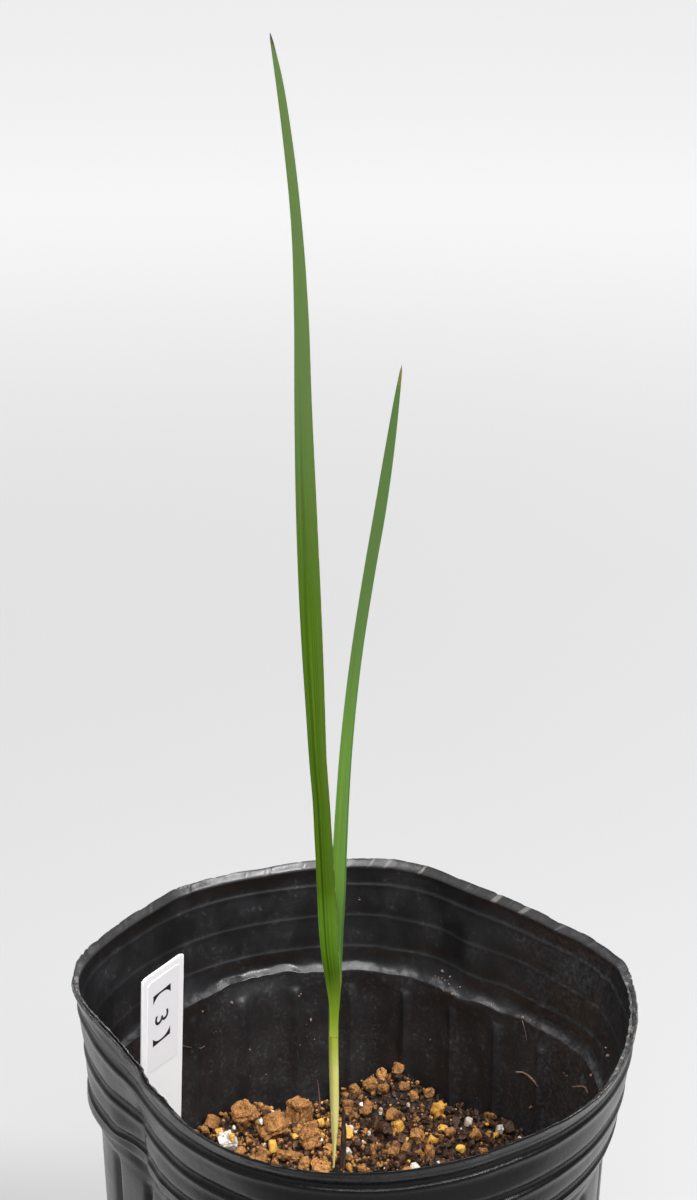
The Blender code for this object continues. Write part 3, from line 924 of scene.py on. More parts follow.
@dataclass(frozen=True)
class PotShape:
    """The shape of the pot's thin wall, as its solid has it."""

    height: float = 0.150
    rim_radius: float = 0.0605
    wall: float = 0.0008
    floor: float = 0.0012
    collar_height: float = 0.0269
    collar_top_radius: float = 0.0601
    collar_slope: float = 0.130
    body_top_radius: float = 0.0548
    body_foot_radius: float = 0.0521
    base_radius: float = 0.0503
    base_round: float = 0.0026
    rings_outside: tuple[float, ...] = (0.0042, 0.0133, 0.0212)
    rings_inside: tuple[float, ...] = (0.0059, 0.0137, 0.0214)
    ring_outside: tuple[tuple[float, float], ...] = (
        (-2.2, 0.0), (-1.6, -0.03), (-1.0, -0.15), (-0.5, -0.33), (-0.1, -0.46), (0.4, -0.52), (0.9, -0.47),
        (1.15, -0.31), (1.4, -0.03), (1.6, 0.13), (1.85, 0.20), (2.2, 0.15), (2.7, 0.01), (3.4, -0.05),
        (4.2, -0.02), (5.0, 0.0))
    ring_inside: tuple[tuple[float, float], ...] = (
        (-2.9, 0.0), (-2.2, 0.07), (-1.0, 0.19), (-0.35, 0.22), (-0.05, 0.13), (0.2, -0.01), (0.45, -0.06),
        (0.7, -0.05), (1.1, 0.0), (1.6, 0.0))
    ring_strengths: tuple[float, float, float] = (0.95, 0.80, 0.90)
    lip_outside: tuple[tuple[float, float], ...] = (
        (0.0, 60.34), (0.15, 60.44), (0.7, 60.32), (1.4, 60.04), (2.0, 59.84))
    lip_inside: tuple[tuple[float, float], ...] = (
        (0.0, 60.16), (0.25, 59.98), (0.6, 59.62), (1.0, 59.16), (1.35, 58.84), (1.7, 58.72), (2.1, 58.76),
        (2.5, 58.86), (3.2, 58.884))
    foot_inside: tuple[tuple[float, float], ...] = (
        (22.9, 57.123), (24.0, 56.97), (25.0, 56.76), (25.7, 56.46), (26.2, 56.08), (26.6, 55.58), (26.85, 55.14),
        (27.0, 54.88), (27.25, 54.80), (28.2, 54.78), (29.6, 54.74), (31.0, 54.708))
    foot_outside: tuple[tuple[float, float], ...] = (
        (22.9, 57.123), (24.0, 56.95), (25.0, 56.72), (25.7, 56.38), (26.2, 55.98), (26.6, 55.50), (26.85, 55.10),
        (27.0, 54.86), (27.25, 54.80), (28.2, 54.78), (29.2, 54.92), (30.0, 54.80), (31.0, 54.708))
    flutes: int = 24
    flute_top: float = 0.0303
    flute_groove: float = 0.00105
    flute_groove_half: float = 0.085
    flute_crown: float = 0.00012
    columns_per_flute: int = 22
    drain_holes: int = 6
    drain_hole_radius: float = 0.0042
    drain_circle_radius: float = 0.0340
    dents: tuple[Dent, ...] = (
        Dent(45.4, 50.0, 0.0072, 0.0058, 32.7, 34.1, 0.51),
        Dent(-153.6, -147.0, 0.0091, 0.0064, 39.2, 69.1, 1.10),
        Dent(103.7, 103.7, 0.0034, 0.0026, 64.9, 64.9, 1.00),
    )
    dent_end: float = 0.008
    surveys: tuple[Survey, ...] = SURVEYS
    survey_end: float = 0.0330
    creases: tuple[Crease, ...] = (
        Crease(-149.0, 0.129, 2.6, 0.0085, 0.00050, 1.8),
        Crease(-139.5, 0.120, 2.0, 0.008, -0.0004),
        Crease(32.5, 0.127, 1.6, 0.005, 0.00040),
        Crease(16.0, 0.142, 1.5, 0.0040, 0.00040),
        Crease(-155.0, 0.1262, 4.5, 0.0032, 0.00080),
    )

    @property
    def collar_foot(self) -> float:
        """Return the height of the collar's foot."""
        return self.height - self.collar_height

    def depths(self, inside: bool) -> list[float]:
        """Return the rows of points down the wall, as depths below the rim.

        Args:
            inside: Whether they are for the inner side, which needs few rows below the soil.

        Returns:
            The depths, from the rim down.
        """
        rows = [0.0, 0.12, 0.35, 0.65, 0.95, 1.25, 1.5, 1.8, 2.1, 2.5]
        crests, table = self.ring_tables(inside)
        for crest in crests:
            rows += [crest / MM + knot for knot in (*table[:, 0], -0.75, 0.3)]
        rows += [9.3, 17.2, 24.0, 24.6, 25.1, 25.5, 25.8, 26.1, 26.4, 26.6, 26.75, 26.9, 27.0, 27.12,
                 27.4, 27.8, 28.2, 28.7, 29.2,
                 29.6, 30.0, 30.4, 30.8, 31.3, 31.9]
        foot = (self.height - self.base_round * np.array([0.72, 0.45, 0.22, 0.08, 0.0])) / MM
        body = np.linspace(34.0, (self.height - self.base_round) / MM, 6 if inside else 12)
        return [row * MM for row in sorted([*rows, *body, *foot])]

    def ring_tables(self, inside: bool) -> tuple[tuple[float, ...], Array]:
        """Return where the pressed rings are on one side of the wall, and their profile."""
        if inside:
            return self.rings_inside, np.array(self.ring_inside)
        return self.rings_outside, np.array(self.ring_outside)

    def collar_radius(self, depth: float, inside: bool) -> float:
        """Return the round collar's radius, with its pressed rings."""
        radius = self.collar_top_radius - self.collar_slope * depth
        crests, table = self.ring_tables(inside)
        for crest, strength in zip(crests, self.ring_strengths if inside else (1.0, 1.0, 1.0)):
            away = (depth - crest) / MM
            if table[0, 0] < away < table[-1, 0]:
                radius += strength * float(curve_through(table[:, 0], table[:, 1], away)) * MM
        return radius

    def radius(self, depth: float, inside: bool = False) -> float:
        """Return the round pot's radius at a depth below the rim.

        Args:
            depth: How far below the rim.
            inside: Whether the wall's inner side is meant.

        Returns:
            The radius.
        """
        lip = np.array(self.lip_inside if inside else self.lip_outside)
        foot = np.array(self.foot_inside if inside else self.foot_outside)
        if depth / MM < lip[-1, 0]:
            return float(curve_through(lip[:, 0], lip[:, 1], depth / MM)) * MM
        if depth / MM < foot[0, 0]:
            radius = self.collar_radius(depth, inside)
        elif depth / MM < foot[-1, 0]:
            radius = float(curve_through(foot[:, 0], foot[:, 1], depth / MM)) * MM
        else:
            share = (self.collar_foot - self.height + depth) / (self.collar_foot - self.base_round)
            radius = self.body_top_radius + (self.body_foot_radius - self.body_top_radius) * share
        height = self.height - depth
        if height < self.base_round:
            drop = 1.0 - height / self.base_round
            radius -= (self.body_foot_radius - self.base_radius) * (1.0 - math.sqrt(1.0 - drop * drop))
        return radius - self.wall * inside

    def stands(self, bearing: Array, height: Array) -> Array:
        """Return how far the surveyed wall stands out at each bearing and height."""
        depth = self.height - np.asarray(height)
        knots = np.array([survey.depth for survey in self.surveys])
        values = np.stack([survey.read(bearing) for survey in self.surveys])
        index = np.clip(np.searchsorted(knots, depth) - 1, 0, len(knots) - 2)
        share = np.clip((depth - knots[index]) / (knots[index + 1] - knots[index]), 0.0, 1.0)
        share = share * share * (3.0 - 2.0 * share)
        own = np.arange(values.shape[1])
        stand = values[index, own] * (1.0 - share) + values[index + 1, own] * share
        return stand * (1.0 - smooth_step(knots[-1] + 0.001, self.survey_end, depth))

    def pressed(self, angle: Array, height: Array) -> Array:
        """Return how far the wall stands in from the round pot.

        Args:
            angle: Angles about the pot's axis, in radians.
            height: Heights above the floor.

        Returns:
            The distance at each point.
        """
        bearing = np.degrees(angle)
        down = np.clip((self.height - height) / self.collar_height, 0.0, 1.0)
        dents = sum(dent.depth(bearing, down) for dent in self.dents)
        dents = dents * smooth_step(self.dent_end, self.collar_foot, height)
        kinks = sum(crease.press(bearing, height) for crease in self.creases)
        share = (bearing * self.flutes / 360.0) % 1.0
        away = np.minimum(share, 1.0 - share) / self.flute_groove_half
        groove = self.flute_groove * np.exp(-away * away) - self.flute_crown * np.sin(math.pi * share)
        top = self.height - self.flute_top
        below = 1.0 - smooth_step(top - 0.0020, top, height)
        return dents + kinks + groove * below - self.stands(bearing, height)

    def wall_reach(self, angle: float, height: float) -> float:
        """Return how far from the axis the inside of the wall is."""
        radius = self.radius(self.height - height, inside=True)
        return radius - float(self.pressed(np.array([angle]), np.array([height]))[0])


@dataclass
class Pot:
    """The deep nursery pot."""

    shape: PotShape
    ripple: float = 0.00012
    ripple_length: float = 0.011
    edge_wave: float = 0.00022
    edge_wave_length: float = 0.0042
    nick_depth: float = 0.00030
    nick_size: float = 0.0012
    lip: float = 0.0016
    ledge_wave: float = 0.0006
    ledge_wave_length: float = 0.0062
    torn_lip: float = 0.0005
    worn_lip: float = 0.80
    worn_places: tuple[tuple[float, float], ...] = ((-157.0, 27.0), (-8.0, 18.0))
    room: float = 0.00003

    def build(self, box: list[list[float]]) -> bpy.types.Object:
        """Extrude the wall from its base over the rim and down to its floor.

        Args:
            box: The corners of the box that the pot keeps inside.

        Returns:
            The pot.
        """
        shape = self.shape
        rings = [Ring(Vector((0.0, 0.0, shape.height - depth)), shape.radius(depth))
                 for depth in reversed(shape.depths(False))]
        rings += [Ring(Vector((0.0, 0.0, shape.height - depth)), shape.radius(depth, inside=True))
                  for depth in shape.depths(True) if shape.height - depth > shape.floor * 1.5]
        rings.append(Ring(Vector((0.0, 0.0, shape.floor)), shape.base_radius - shape.wall))
        pot = extruded(rings, shape.flutes * shape.columns_per_flute)
        self.squeeze(pot, box)
        self.drill(pot)
        return hand_over(pot, "pot_shell", PotPlastic().make(shape), Slot.POT, [Node.POT], 38.0)

    def squeeze(self, pot: bpy.types.Object, box: list[list[float]]) -> None:
        """Press in the dents, the creases and the flutes, and wear the rim.

        Args:
            pot: The round pot.
            box: The corners of the box that the pot keeps inside.
        """
        points = points_of(pot)
        reach = np.hypot(points[:, 0], points[:, 1])
        angle = np.arctan2(points[:, 1], points[:, 0])
        pressed = self.shape.pressed(angle, points[:, 2])
        for index in np.nonzero(points[:, 2] > self.shape.dent_end)[0]:
            x, y, z = points[index]
            pressed[index] += self.ripple * noise.noise(Vector((x, y, z)) / self.ripple_length)
        for index in np.nonzero(points[:, 2] > self.shape.height - self.lip)[0]:
            x, y, z = points[index]
            share = 1.0 + (z - self.shape.height) / self.lip
            wave = noise.noise(Vector((x, y, 0.0)) / self.edge_wave_length)
            nick = noise.noise(Vector((x, y, 0.05)) / self.nick_size) - 0.22
            torn = math.exp(-((abs(math.degrees(angle[index])) - 176.0) / 14.0) ** 2)
            torn += math.exp(-((math.degrees(angle[index]) - 2.0) / 12.0) ** 2)
            depth = self.nick_depth + self.torn_lip * torn
            points[index, 2] -= share * share * depth * max(0.0, nick) / 0.5
            pressed[index] += share * (self.edge_wave * wave + torn * self.torn_lip * max(0.0, nick + 0.15))
        self.wear_lip(points, reach, angle, pressed)
        foot = self.shape.collar_foot
        ragged = smooth_step(foot - 0.0040, foot - 0.0012, points[:, 2])
        ragged = ragged * (1.0 - smooth_step(foot + 0.0002, foot + 0.0020, points[:, 2]))
        for index in np.nonzero(ragged > 0.0)[0]:
            x, y, _ = points[index]
            where = Vector((x, y, 0.3)) / self.ledge_wave_length
            wave = noise.noise(where) + 0.45 * noise.noise(where * 2.9)
            points[index, 2] += ragged[index] * self.ledge_wave * wave
        scale = (reach - pressed) / reach
        points[:, 0] *= scale
        points[:, 1] *= scale
        low, high = np.array(box)[:, :2]
        points[:, :2] = np.clip(points[:, :2], low + self.room, high - self.room)
        set_points(pot, points)

    def wear_lip(self, points: Array, reach: Array, angle: Array, pressed: Array) -> None:
        """Press the lip's inner bevel up to a flat ragged edge where the pot was handled.

        Args:
            points: The pot's points, whose heights change.
            reach: Their distance from the axis before they are pressed in.
            angle: Their angles.
            pressed: How far they are pressed in, which changes.
        """
        depth = self.shape.height - points[:, 2]
        bearing = np.degrees(angle)
        worn = sum(np.exp(-(((bearing - middle + 180.0) % 360.0 - 180.0) / spread) ** 4)
                   for middle, spread in self.worn_places)
        for index in np.nonzero((depth < 0.0026) & (reach < 0.0595) & (worn > 0.02))[0]:
            x, y, _ = points[index]
            full = min(depth[index], 0.0017) * self.worn_lip * worn[index]
            points[index, 2] += full * (1.0 - float(smooth_step(0.0017, 0.0026, depth[index])))
            frayed = noise.noise(Vector((x, y, 0.7)) / 0.0016) + 0.5 * noise.noise(Vector((x, y, 0.2)) / 0.0006)
            pressed[index] += 0.00035 * frayed * worn[index] * min(depth[index] / 0.0014, 1.0)

    def drill(self, pot: bpy.types.Object) -> None:
        """Cut the drain holes through the pot's floor."""
        shape = self.shape
        for hole in range(shape.drain_holes):
            angle = hole * TURN / shape.drain_holes
            place = Vector((math.cos(angle), math.sin(angle), 0.0)) * shape.drain_circle_radius
            bpy.ops.mesh.primitive_cylinder_add(vertices=40, radius=shape.drain_hole_radius,
                                                depth=4.0 * shape.floor, location=place)
            cutter = bpy.context.object
            apply_modifier(pot, "BOOLEAN", object=cutter, operation="DIFFERENCE", solver="EXACT")
            bpy.data.objects.remove(cutter, do_unlink=True)


@dataclass(frozen=True)
class Swell:
    """A rise or a hollow of the soil's surface."""

    x: float
    y: float
    rise: float
    spread: float


@dataclass(frozen=True)
class SoilShape:
    """The soil's surface, as its solid has it."""

    level: float = 0.0912
    slope: float = 0.030
    swells: tuple[Swell, ...] = (
        Swell(0.0115, 0.0460, 0.0062, 0.0055),
        Swell(-0.0120, 0.0460, -0.0060, 0.0060),
        Swell(0.0360, 0.0320, 0.0026, 0.0090),
        Swell(-0.0035, 0.0135, 0.0044, 0.0110),
    )

    def height(self, x: Array, y: Array) -> Array:
        """Return the surface's height at each place."""
        height = self.level + self.slope * x
        for swell in self.swells:
            away = (x - swell.x) ** 2 + (y - swell.y) ** 2
            height = height + swell.rise * np.exp(-away / (2.0 * swell.spread ** 2))
        return height


class Heap:
    """A height map on which grains come to rest one after another."""

    cell = 0.00035
    half_span = 0.054

    def __init__(self, surface: SoilShape, sunk: float) -> None:
        """Start from the soil's surface, some way down.

        Args:
            surface: The soil's surface.
            sunk: How far below it the heap starts.
        """
        count = int(2.0 * self.half_span / self.cell) + 1
        self.lines = np.linspace(-self.half_span, self.half_span, count)
        x, y = np.meshgrid(self.lines, self.lines, indexing="ij")
        self.start = surface.height(x, y)
        self.top = self.start - sunk

    def window(self, x: float, y: float, radius: float) -> tuple[slice, slice, Array]:
        """Return the cells under a grain and the grain's half height over each.

        Args:
            x: The grain's place to the right.
            y: The grain's place to the back.
            radius: The grain's radius.

        Returns:
            The two slices of the map, and the half heights, which are 0 outside.
        """
        radius = max(radius, 0.75 * self.cell)
        low_x, high_x = np.searchsorted(self.lines, (x - radius, x + radius))
        low_y, high_y = np.searchsorted(self.lines, (y - radius, y + radius))
        rows, columns = slice(low_x, high_x + 1), slice(low_y, high_y + 1)
        away = (self.lines[rows, None] - x) ** 2 + (self.lines[None, columns] - y) ** 2
        return rows, columns, np.sqrt(np.clip(radius * radius - away, 0.0, None))

    def level(self, x: float, y: float, radius: float, sink: float) -> float:
        """Return the height at which a grain's middle would rest."""
        rows, columns, half = self.window(x, y, radius)
        patch = self.top[rows, columns]
        return float((patch + half)[half > 0.0].max()) - sink * radius if (half > 0.0).any() else 0.0

    def drop(self, x: float, y: float, radius: float, sink: float) -> float:
        """Let a grain come to rest, and return the height of its middle."""
        rows, columns, half = self.window(x, y, radius)
        height = self.level(x, y, radius, sink)
        patch = self.top[rows, columns]
        self.top[rows, columns] = np.where(half > 0.0, np.maximum(patch, height + half * 0.9), patch)
        return height


@dataclass(frozen=True)
class Grain:
    """One grain: its kind, place, radius and tint."""

    kind: Earth
    x: float
    y: float
    z: float
    radius: float
    tint: float


@dataclass
class Soil:
    """The potting mix: a dark bed and the grains that lie on it."""

    pot: PotShape
    surface: SoilShape = field(default_factory=SoilShape)
    clearance: float = 0.0006
    sides: int = 192
    bed_rings: int = 44
    bed_cuts: int = 2
    crumb: float = 0.00105
    crumb_rise: float = 0.00075
    sunk: float = 0.0023
    seed: int = 7
    stem_place: tuple[float, float] = (-0.0039, 0.0125)
    stem_room: float = 0.0013
    big: tuple[tuple[Earth, float, float, float, float], ...] = (
        (Earth.CLAY, -0.0255, 0.0377, 0.0031, 0.50),
        (Earth.CLAY, -0.0222, 0.0452, 0.0011, 0.46),
        (Earth.CLAY, -0.0330, 0.0363, 0.0017, 0.50),
        (Earth.CLAY, -0.0347, 0.0332, 0.0010, 0.41),
        (Earth.YELLOW, -0.0315, 0.0336, 0.0008, 0.60),
        (Earth.PUMICE, -0.0289, 0.0282, 0.0026, 0.95),
        (Earth.CLAY, -0.0184, 0.0318, 0.0033, 0.55),
        (Earth.CLAY, -0.0122, 0.0435, 0.0036, 0.42),
        (Earth.CLAY, -0.0126, 0.0496, 0.0013, 0.50),
        (Earth.YELLOW, -0.0059, 0.0393, 0.0011, 0.45),
        (Earth.YELLOW, -0.0071, 0.0345, 0.0009, 0.95),
        (Earth.CLAY, -0.0095, 0.0243, 0.0029, 0.38),
        (Earth.YELLOW, -0.0130, 0.0243, 0.0008, 0.70),
        (Earth.PUMICE, -0.0131, 0.0268, 0.0007, 0.90),
        (Earth.YELLOW, -0.0182, 0.0245, 0.0013, 0.85),
        (Earth.PUMICE, -0.0204, 0.0272, 0.0005, 0.90),
        (Earth.YELLOW, -0.0279, 0.0266, 0.0009, 0.75),
        (Earth.PUMICE, -0.0213, 0.0309, 0.0009, 0.85),
        (Earth.PUMICE, -0.0067, 0.0228, 0.0005, 0.90),
        (Earth.YELLOW, -0.0009, 0.0291, 0.0016, 0.75),
        (Earth.PUMICE, 0.0013, 0.0322, 0.0007, 1.00),
        (Earth.PUMICE, -0.0006, 0.0193, 0.0012, 0.25),
        (Earth.YELLOW, -0.0004, 0.0147, 0.0011, 0.15),
        (Earth.CLAY, -0.0066, 0.0133, 0.0021, 0.66),
        (Earth.CLAY, -0.0107, 0.0154, 0.0016, 0.59),
        (Earth.CLAY, 0.0113, 0.0466, 0.0015, 0.42),
        (Earth.CLAY, 0.0050, 0.0467, 0.0018, 0.39),
        (Earth.CLAY, 0.0081, 0.0431, 0.0014, 0.31),
        (Earth.CLAY, 0.0131, 0.0429, 0.0013, 0.37),
        (Earth.CLAY, 0.0011, 0.0466, 0.0013, 0.16),
        (Earth.CLAY, 0.0155, 0.0412, 0.0013, 0.27),
        (Earth.CLAY, 0.0099, 0.0360, 0.0016, 0.33),
        (Earth.PUMICE, 0.0138, 0.0385, 0.0006, 0.30),
        (Earth.YELLOW, 0.0210, 0.0381, 0.0017, 0.10),
        (Earth.YELLOW, 0.0115, 0.0325, 0.0013, 0.20),
        (Earth.CLAY, 0.0156, 0.0287, 0.0018, 0.56),
        (Earth.PUMICE, 0.0261, 0.0313, 0.0005, 1.00),
        (Earth.PUMICE, 0.0280, 0.0323, 0.0012, 0.12),
        (Earth.CLAY, 0.0294, 0.0262, 0.0013, 0.50),
        (Earth.PUMICE, 0.0351, 0.0281, 0.0012, 0.10),
        (Earth.YELLOW, 0.0258, 0.0244, 0.0012, 0.75),
        (Earth.PUMICE, 0.0201, 0.0173, 0.0006, 0.40),
        (Earth.HUMUS, 0.0081, 0.0294, 0.0019, 0.50),
        (Earth.HUMUS, 0.0036, 0.0334, 0.0015, 0.20),
        (Earth.CLAY, 0.0037, 0.0387, 0.0015, 0.23),
        (Earth.PUMICE, 0.0025, 0.0387, 0.0006, 0.90),
        (Earth.PUMICE, 0.0073, 0.0383, 0.0008, 0.90),
        (Earth.CLAY, 0.0185, 0.0226, 0.0015, 0.31),
        (Earth.CLAY, 0.0098, 0.0214, 0.0013, 0.35),
        (Earth.CLAY, 0.0026, 0.0134, 0.0014, 0.39),
        (Earth.CLAY, 0.0131, 0.0233, 0.0012, 0.20),
        (Earth.CLAY, 0.0234, 0.0292, 0.0013, 0.20),
        (Earth.CLAY, 0.0331, 0.0339, 0.0013, 0.16),
        (Earth.CLAY, 0.0312, 0.0222, 0.0013, 0.42),
        (Earth.CLAY, -0.0259, 0.0246, 0.0015, 0.50),
        (Earth.CLAY, -0.0206, 0.0197, 0.0014, 0.50),
        (Earth.CLAY, -0.0152, 0.0204, 0.0016, 0.46),
    )
    layers: tuple[tuple[int, float, float], ...] = (
        (900, 0.0007, 0.0014),
        (260, 0.0007, 0.0013),
        (3200, 0.00032, 0.00075),
        (3600, 0.00022, 0.00045),
        (1100, 0.00016, 0.00030),
    )
    kinds: tuple[tuple[Earth, float], ...] = (
        (Earth.CLAY, 0.48), (Earth.HUMUS, 0.480), (Earth.YELLOW, 0.032), (Earth.PUMICE, 0.008))
    humus_lean: float = 13.0

    def build(self, label: "Label") -> None:
        """Make the bed and all the grains.

        Args:
            label: The label, which grains keep clear of.
        """
        self.build_bed()
        grains = list(self.grains(label))
        for kind in Earth:
            self.build_grains(kind, [grain for grain in grains if grain.kind is kind])

    def build_bed(self) -> None:
        """Make the body of the soil, from the pot's floor to its surface."""
        shape = self.pot
        heights = [shape.floor + 0.0003, 0.0030, 0.0100, 0.0300, 0.0500, 0.0700, 0.0800, 0.0850]
        rings = [Ring(Vector((0.0, 0.0, height)),
                      (shape.radius(shape.height - height, inside=True) if height > 0.002
                       else shape.base_radius - shape.wall) - self.clearance) for height in heights]
        edge = rings[-1].radius
        rings += [Ring(Vector((0.0, 0.0, heights[-1] + 0.002)), edge * (1.0 - 0.985 * step / self.bed_rings))
                  for step in range(self.bed_rings + 1)]
        bed = extruded(rings, self.sides)
        points = points_of(bed)
        reach = np.hypot(points[:, 0], points[:, 1])
        angle = np.arctan2(points[:, 1], points[:, 0])
        pressed = shape.pressed(angle, np.minimum(points[:, 2], self.surface.level))
        scale = 1.0 - pressed / edge
        points[:, 0] *= scale
        points[:, 1] *= scale
        set_points(bed, points)
        with editing(bed):
            bpy.ops.mesh.select_all(action="DESELECT")
            bpy.ops.mesh.select_mode(type="FACE")
            bpy.ops.object.mode_set(mode="OBJECT")
            above = points[:, 2] > heights[-1] + 0.001
            for face in bed.data.polygons:
                face.select = len(face.vertices) == 4 and all(above[corner] for corner in face.vertices)
            bpy.ops.object.mode_set(mode="EDIT")
            bpy.ops.mesh.subdivide(number_cuts=self.bed_cuts)
        self.crumble(bed, heights[-1] + 0.001)
        hand_over(bed, "soil_bed", BedSoil().make(), Slot.SOIL, [Node.SOIL], 60.0)

    def crumble(self, bed: bpy.types.Object, start: float) -> None:
        """Raise small crumbs all over the bed's surface, each with its own tint.

        Args:
            bed: The bed.
            start: The height above which it is surface.
        """
        points = points_of(bed)
        surface = self.surface.height(points[:, 0], points[:, 1]) - self.sunk
        tints = np.zeros(len(points))
        for index in np.nonzero(points[:, 2] > start)[0]:
            x, y, _ = points[index]
            where = Vector((x, y, 0.0)) / self.crumb
            where += 0.6 * noise.noise_vector(where * 0.8)
            away, cells = noise.voronoi(Vector((where.x, where.y, 0.0)))
            swell = noise.noise(Vector((x, y, 0.0)) / 0.0035)
            tints[index] = noise.cell(cells[0] * 7.3)
            rise = min(1.0, 1.6 * (away[1] - away[0])) * (0.35 + tints[index])
            points[index, 2] = surface[index] + self.crumb_rise * (rise + 0.8 * swell)
        set_points(bed, points)
        attribute = bed.data.attributes.new("tint", "FLOAT", "POINT")
        attribute.data.foreach_set("value", tints)

    def grains(self, label: "Label") -> Iterator[Grain]:
        """Yield every grain, after it has come to rest.

        Args:
            label: The label, which grains keep clear of.
        """
        heap = Heap(self.surface, self.sunk)
        dice = random.Random(self.seed)
        for layer, (count, small, large) in enumerate(self.layers):
            if layer == 1:
                for kind, x, y, radius, tint in self.big:
                    yield Grain(kind, x, y, heap.drop(x, y, radius, 0.5), radius, tint)
            for _ in range(count):
                radius = small + (large - small) * dice.random() ** 1.6
                places = [self.throw(dice, radius) for _ in range(4 if layer < 4 else 1)]
                places = [place for place in places if self.is_free(place, radius, label)]
                if not places:
                    continue
                x, y = min(places, key=lambda place: heap.level(*place, radius, 0.3) - float(
                    self.surface.height(*place)))
                kind = self.pick_kind(dice, x)
                yield Grain(kind, x, y, heap.drop(x, y, radius, 0.3), radius, dice.random())
        LOG.info("the heap's mean top is %.2f mm over the surface",
                 float((heap.top - heap.start)[self.inside(heap)].mean()) / MM)

    def inside(self, heap: Heap) -> Array:
        """Return which cells of the heap are well inside the pot."""
        return np.hypot(heap.lines[:, None], heap.lines[None, :]) < 0.040

    def throw(self, dice: random.Random, radius: float) -> tuple[float, float]:
        """Return a random place on the soil, inside the wall."""
        angle = dice.uniform(-math.pi, math.pi)
        reach = self.pot.wall_reach(angle, self.surface.level) - radius * 1.1
        away = reach * math.sqrt(dice.random())
        return away * math.cos(angle), away * math.sin(angle)

    def is_free(self, place: tuple[float, float], radius: float, label: "Label") -> bool:
        """Return whether a grain there keeps clear of the stem and the label."""
        off_stem = math.hypot(place[0] - self.stem_place[0], place[1] - self.stem_place[1])
        return off_stem > radius + self.stem_room and label.clears(place, radius)

    def pick_kind(self, dice: random.Random, x: float) -> Earth:
        """Return a random kind of grain, with more humus towards the right."""
        draw = dice.random()
        if draw < self.humus_lean * (x + 0.003):
            return Earth.HUMUS
        for kind, share in self.kinds:
            draw -= share
            if draw < 0.0:
                return kind
        return Earth.CLAY

    def build_grains(self, kind: Earth, grains: Sequence[Grain]) -> None:
        """Make all grains of one kind as one piece.

        Args:
            kind: The kind.
            grains: The grains.
        """
        piece = scatter(grains, self.seed + len(grains))
        hand_over(piece, f"{kind.value}_grains", GRAIN_SKINS[kind].make(), Slot.SOIL, smooth=34.0)


def lump(detail: int, seed: float, roughness: float, crumbly: float,
         blunt: float) -> tuple[Array, list[tuple[int, ...]]]:
    """Model one rough lump of about unit size.

    Args:
        detail: How often its faces are divided.
        seed: The place in the noise that it takes its shape from.
        roughness: How far its points stand in or out.
        crumbly: How far the small crumbs that it is made of stand out.
        blunt: 1 for a round lump, less for a blocky one.

    Returns:
        Its points and its faces.
    """
    bpy.ops.mesh.primitive_ico_sphere_add(subdivisions=detail, radius=1.0)
    piece = bpy.context.object
    points = points_of(piece)
    for index, point in enumerate(points):
        where = Vector(point)
        swell = noise.noise(where * 0.9 + Vector((seed, 0.0, 0.0)))
        chip = noise.noise(where * 2.3 + Vector((0.0, seed, 0.0)))
        near = noise.voronoi(where * 2.4 + Vector((0.0, 0.0, seed)))[0]
        fine = noise.noise(where * 6.0 + Vector((seed, seed, 0.0)))
        points[index] = point * (1.0 + roughness * (1.3 * swell + 0.7 * chip)
                                 + crumbly * (min(0.45, near[1] - near[0]) - 0.25 + 0.30 * fine))
    flat = np.maximum(np.abs(points), 1e-9) ** blunt * np.sign(points)
    faces = [tuple(face.vertices) for face in piece.data.polygons]
    bpy.data.objects.remove(piece, do_unlink=True)
    return flat, faces


def scatter(grains: Sequence[Grain], seed: int) -> bpy.types.Object:
    """Copy a few modelled lumps to every grain, as one mesh.

    Args:
        grains: The grains.
        seed: The seed of their turns and stretches.

    Returns:
        The new object, with a tint for each grain.
    """
    dice = random.Random(seed)
    models = {detail: [lump(detail, 3.7 * turn + detail, 0.48, 0.22 if detail > 2 else 0.10,
                            0.56 + 0.10 * (turn % 4)) for turn in range(10)] for detail in (1, 2, 3, 4, 5)}
    points, faces, tints, offset = [], [], [], 0
    for grain in grains:
        detail = 1 + sum(grain.radius > size for size in (0.0007, 0.0012, 0.0017, 0.0025))
        shape, sides = dice.choice(models[detail])
        spin = np.array(Euler([dice.uniform(0.0, TURN) for _ in range(3)]).to_matrix())
        thin = 0.45 if grain.kind is Earth.HUMUS else 0.70
        stretch = np.array([dice.uniform(0.85, 1.15), dice.uniform(thin, 1.1), dice.uniform(thin, 0.95)])
        own = (shape * stretch * grain.radius) @ spin.T + np.array([grain.x, grain.y, grain.z])
        points.append(own)
        faces += [tuple(corner + offset for corner in side) for side in sides]
        tints.append(np.full(len(own), grain.tint))
        offset += len(own)
    mesh = bpy.data.meshes.new("grains")
    mesh.from_pydata(np.concatenate(points).tolist(), [], faces)
    attribute = mesh.attributes.new("tint", "FLOAT", "POINT")
    attribute.data.foreach_set("value", np.concatenate(tints))
    piece = bpy.data.objects.new("grains", mesh)
    bpy.context.scene.collection.objects.link(piece)
    return piece


@dataclass(frozen=True)
class Stations:
    """A solid's middle and size at each height, read from the frame."""

    heights: Array
    x: Array
    y: Array
    widths: Array

    @classmethod
    def read(cls, frame: dict, node: Node) -> "Stations":
        """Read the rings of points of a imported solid.

        Args:
            node: The solid.

        Returns:
            Its stations, from the lowest up.
        """
        points = points_of(frame["nodes"][node.value])
        levels = np.round(points[:, 2] / (0.1 * MM)).astype(int)
        rows = []
        for level in np.unique(levels):
            ring = points[levels == level]
            low, high = ring.min(axis=0), ring.max(axis=0)
            rows.append((ring[:, 2].mean(), *((low + high) / 2.0)[:2], high[0] - low[0]))
        return cls(*np.array(rows).T)


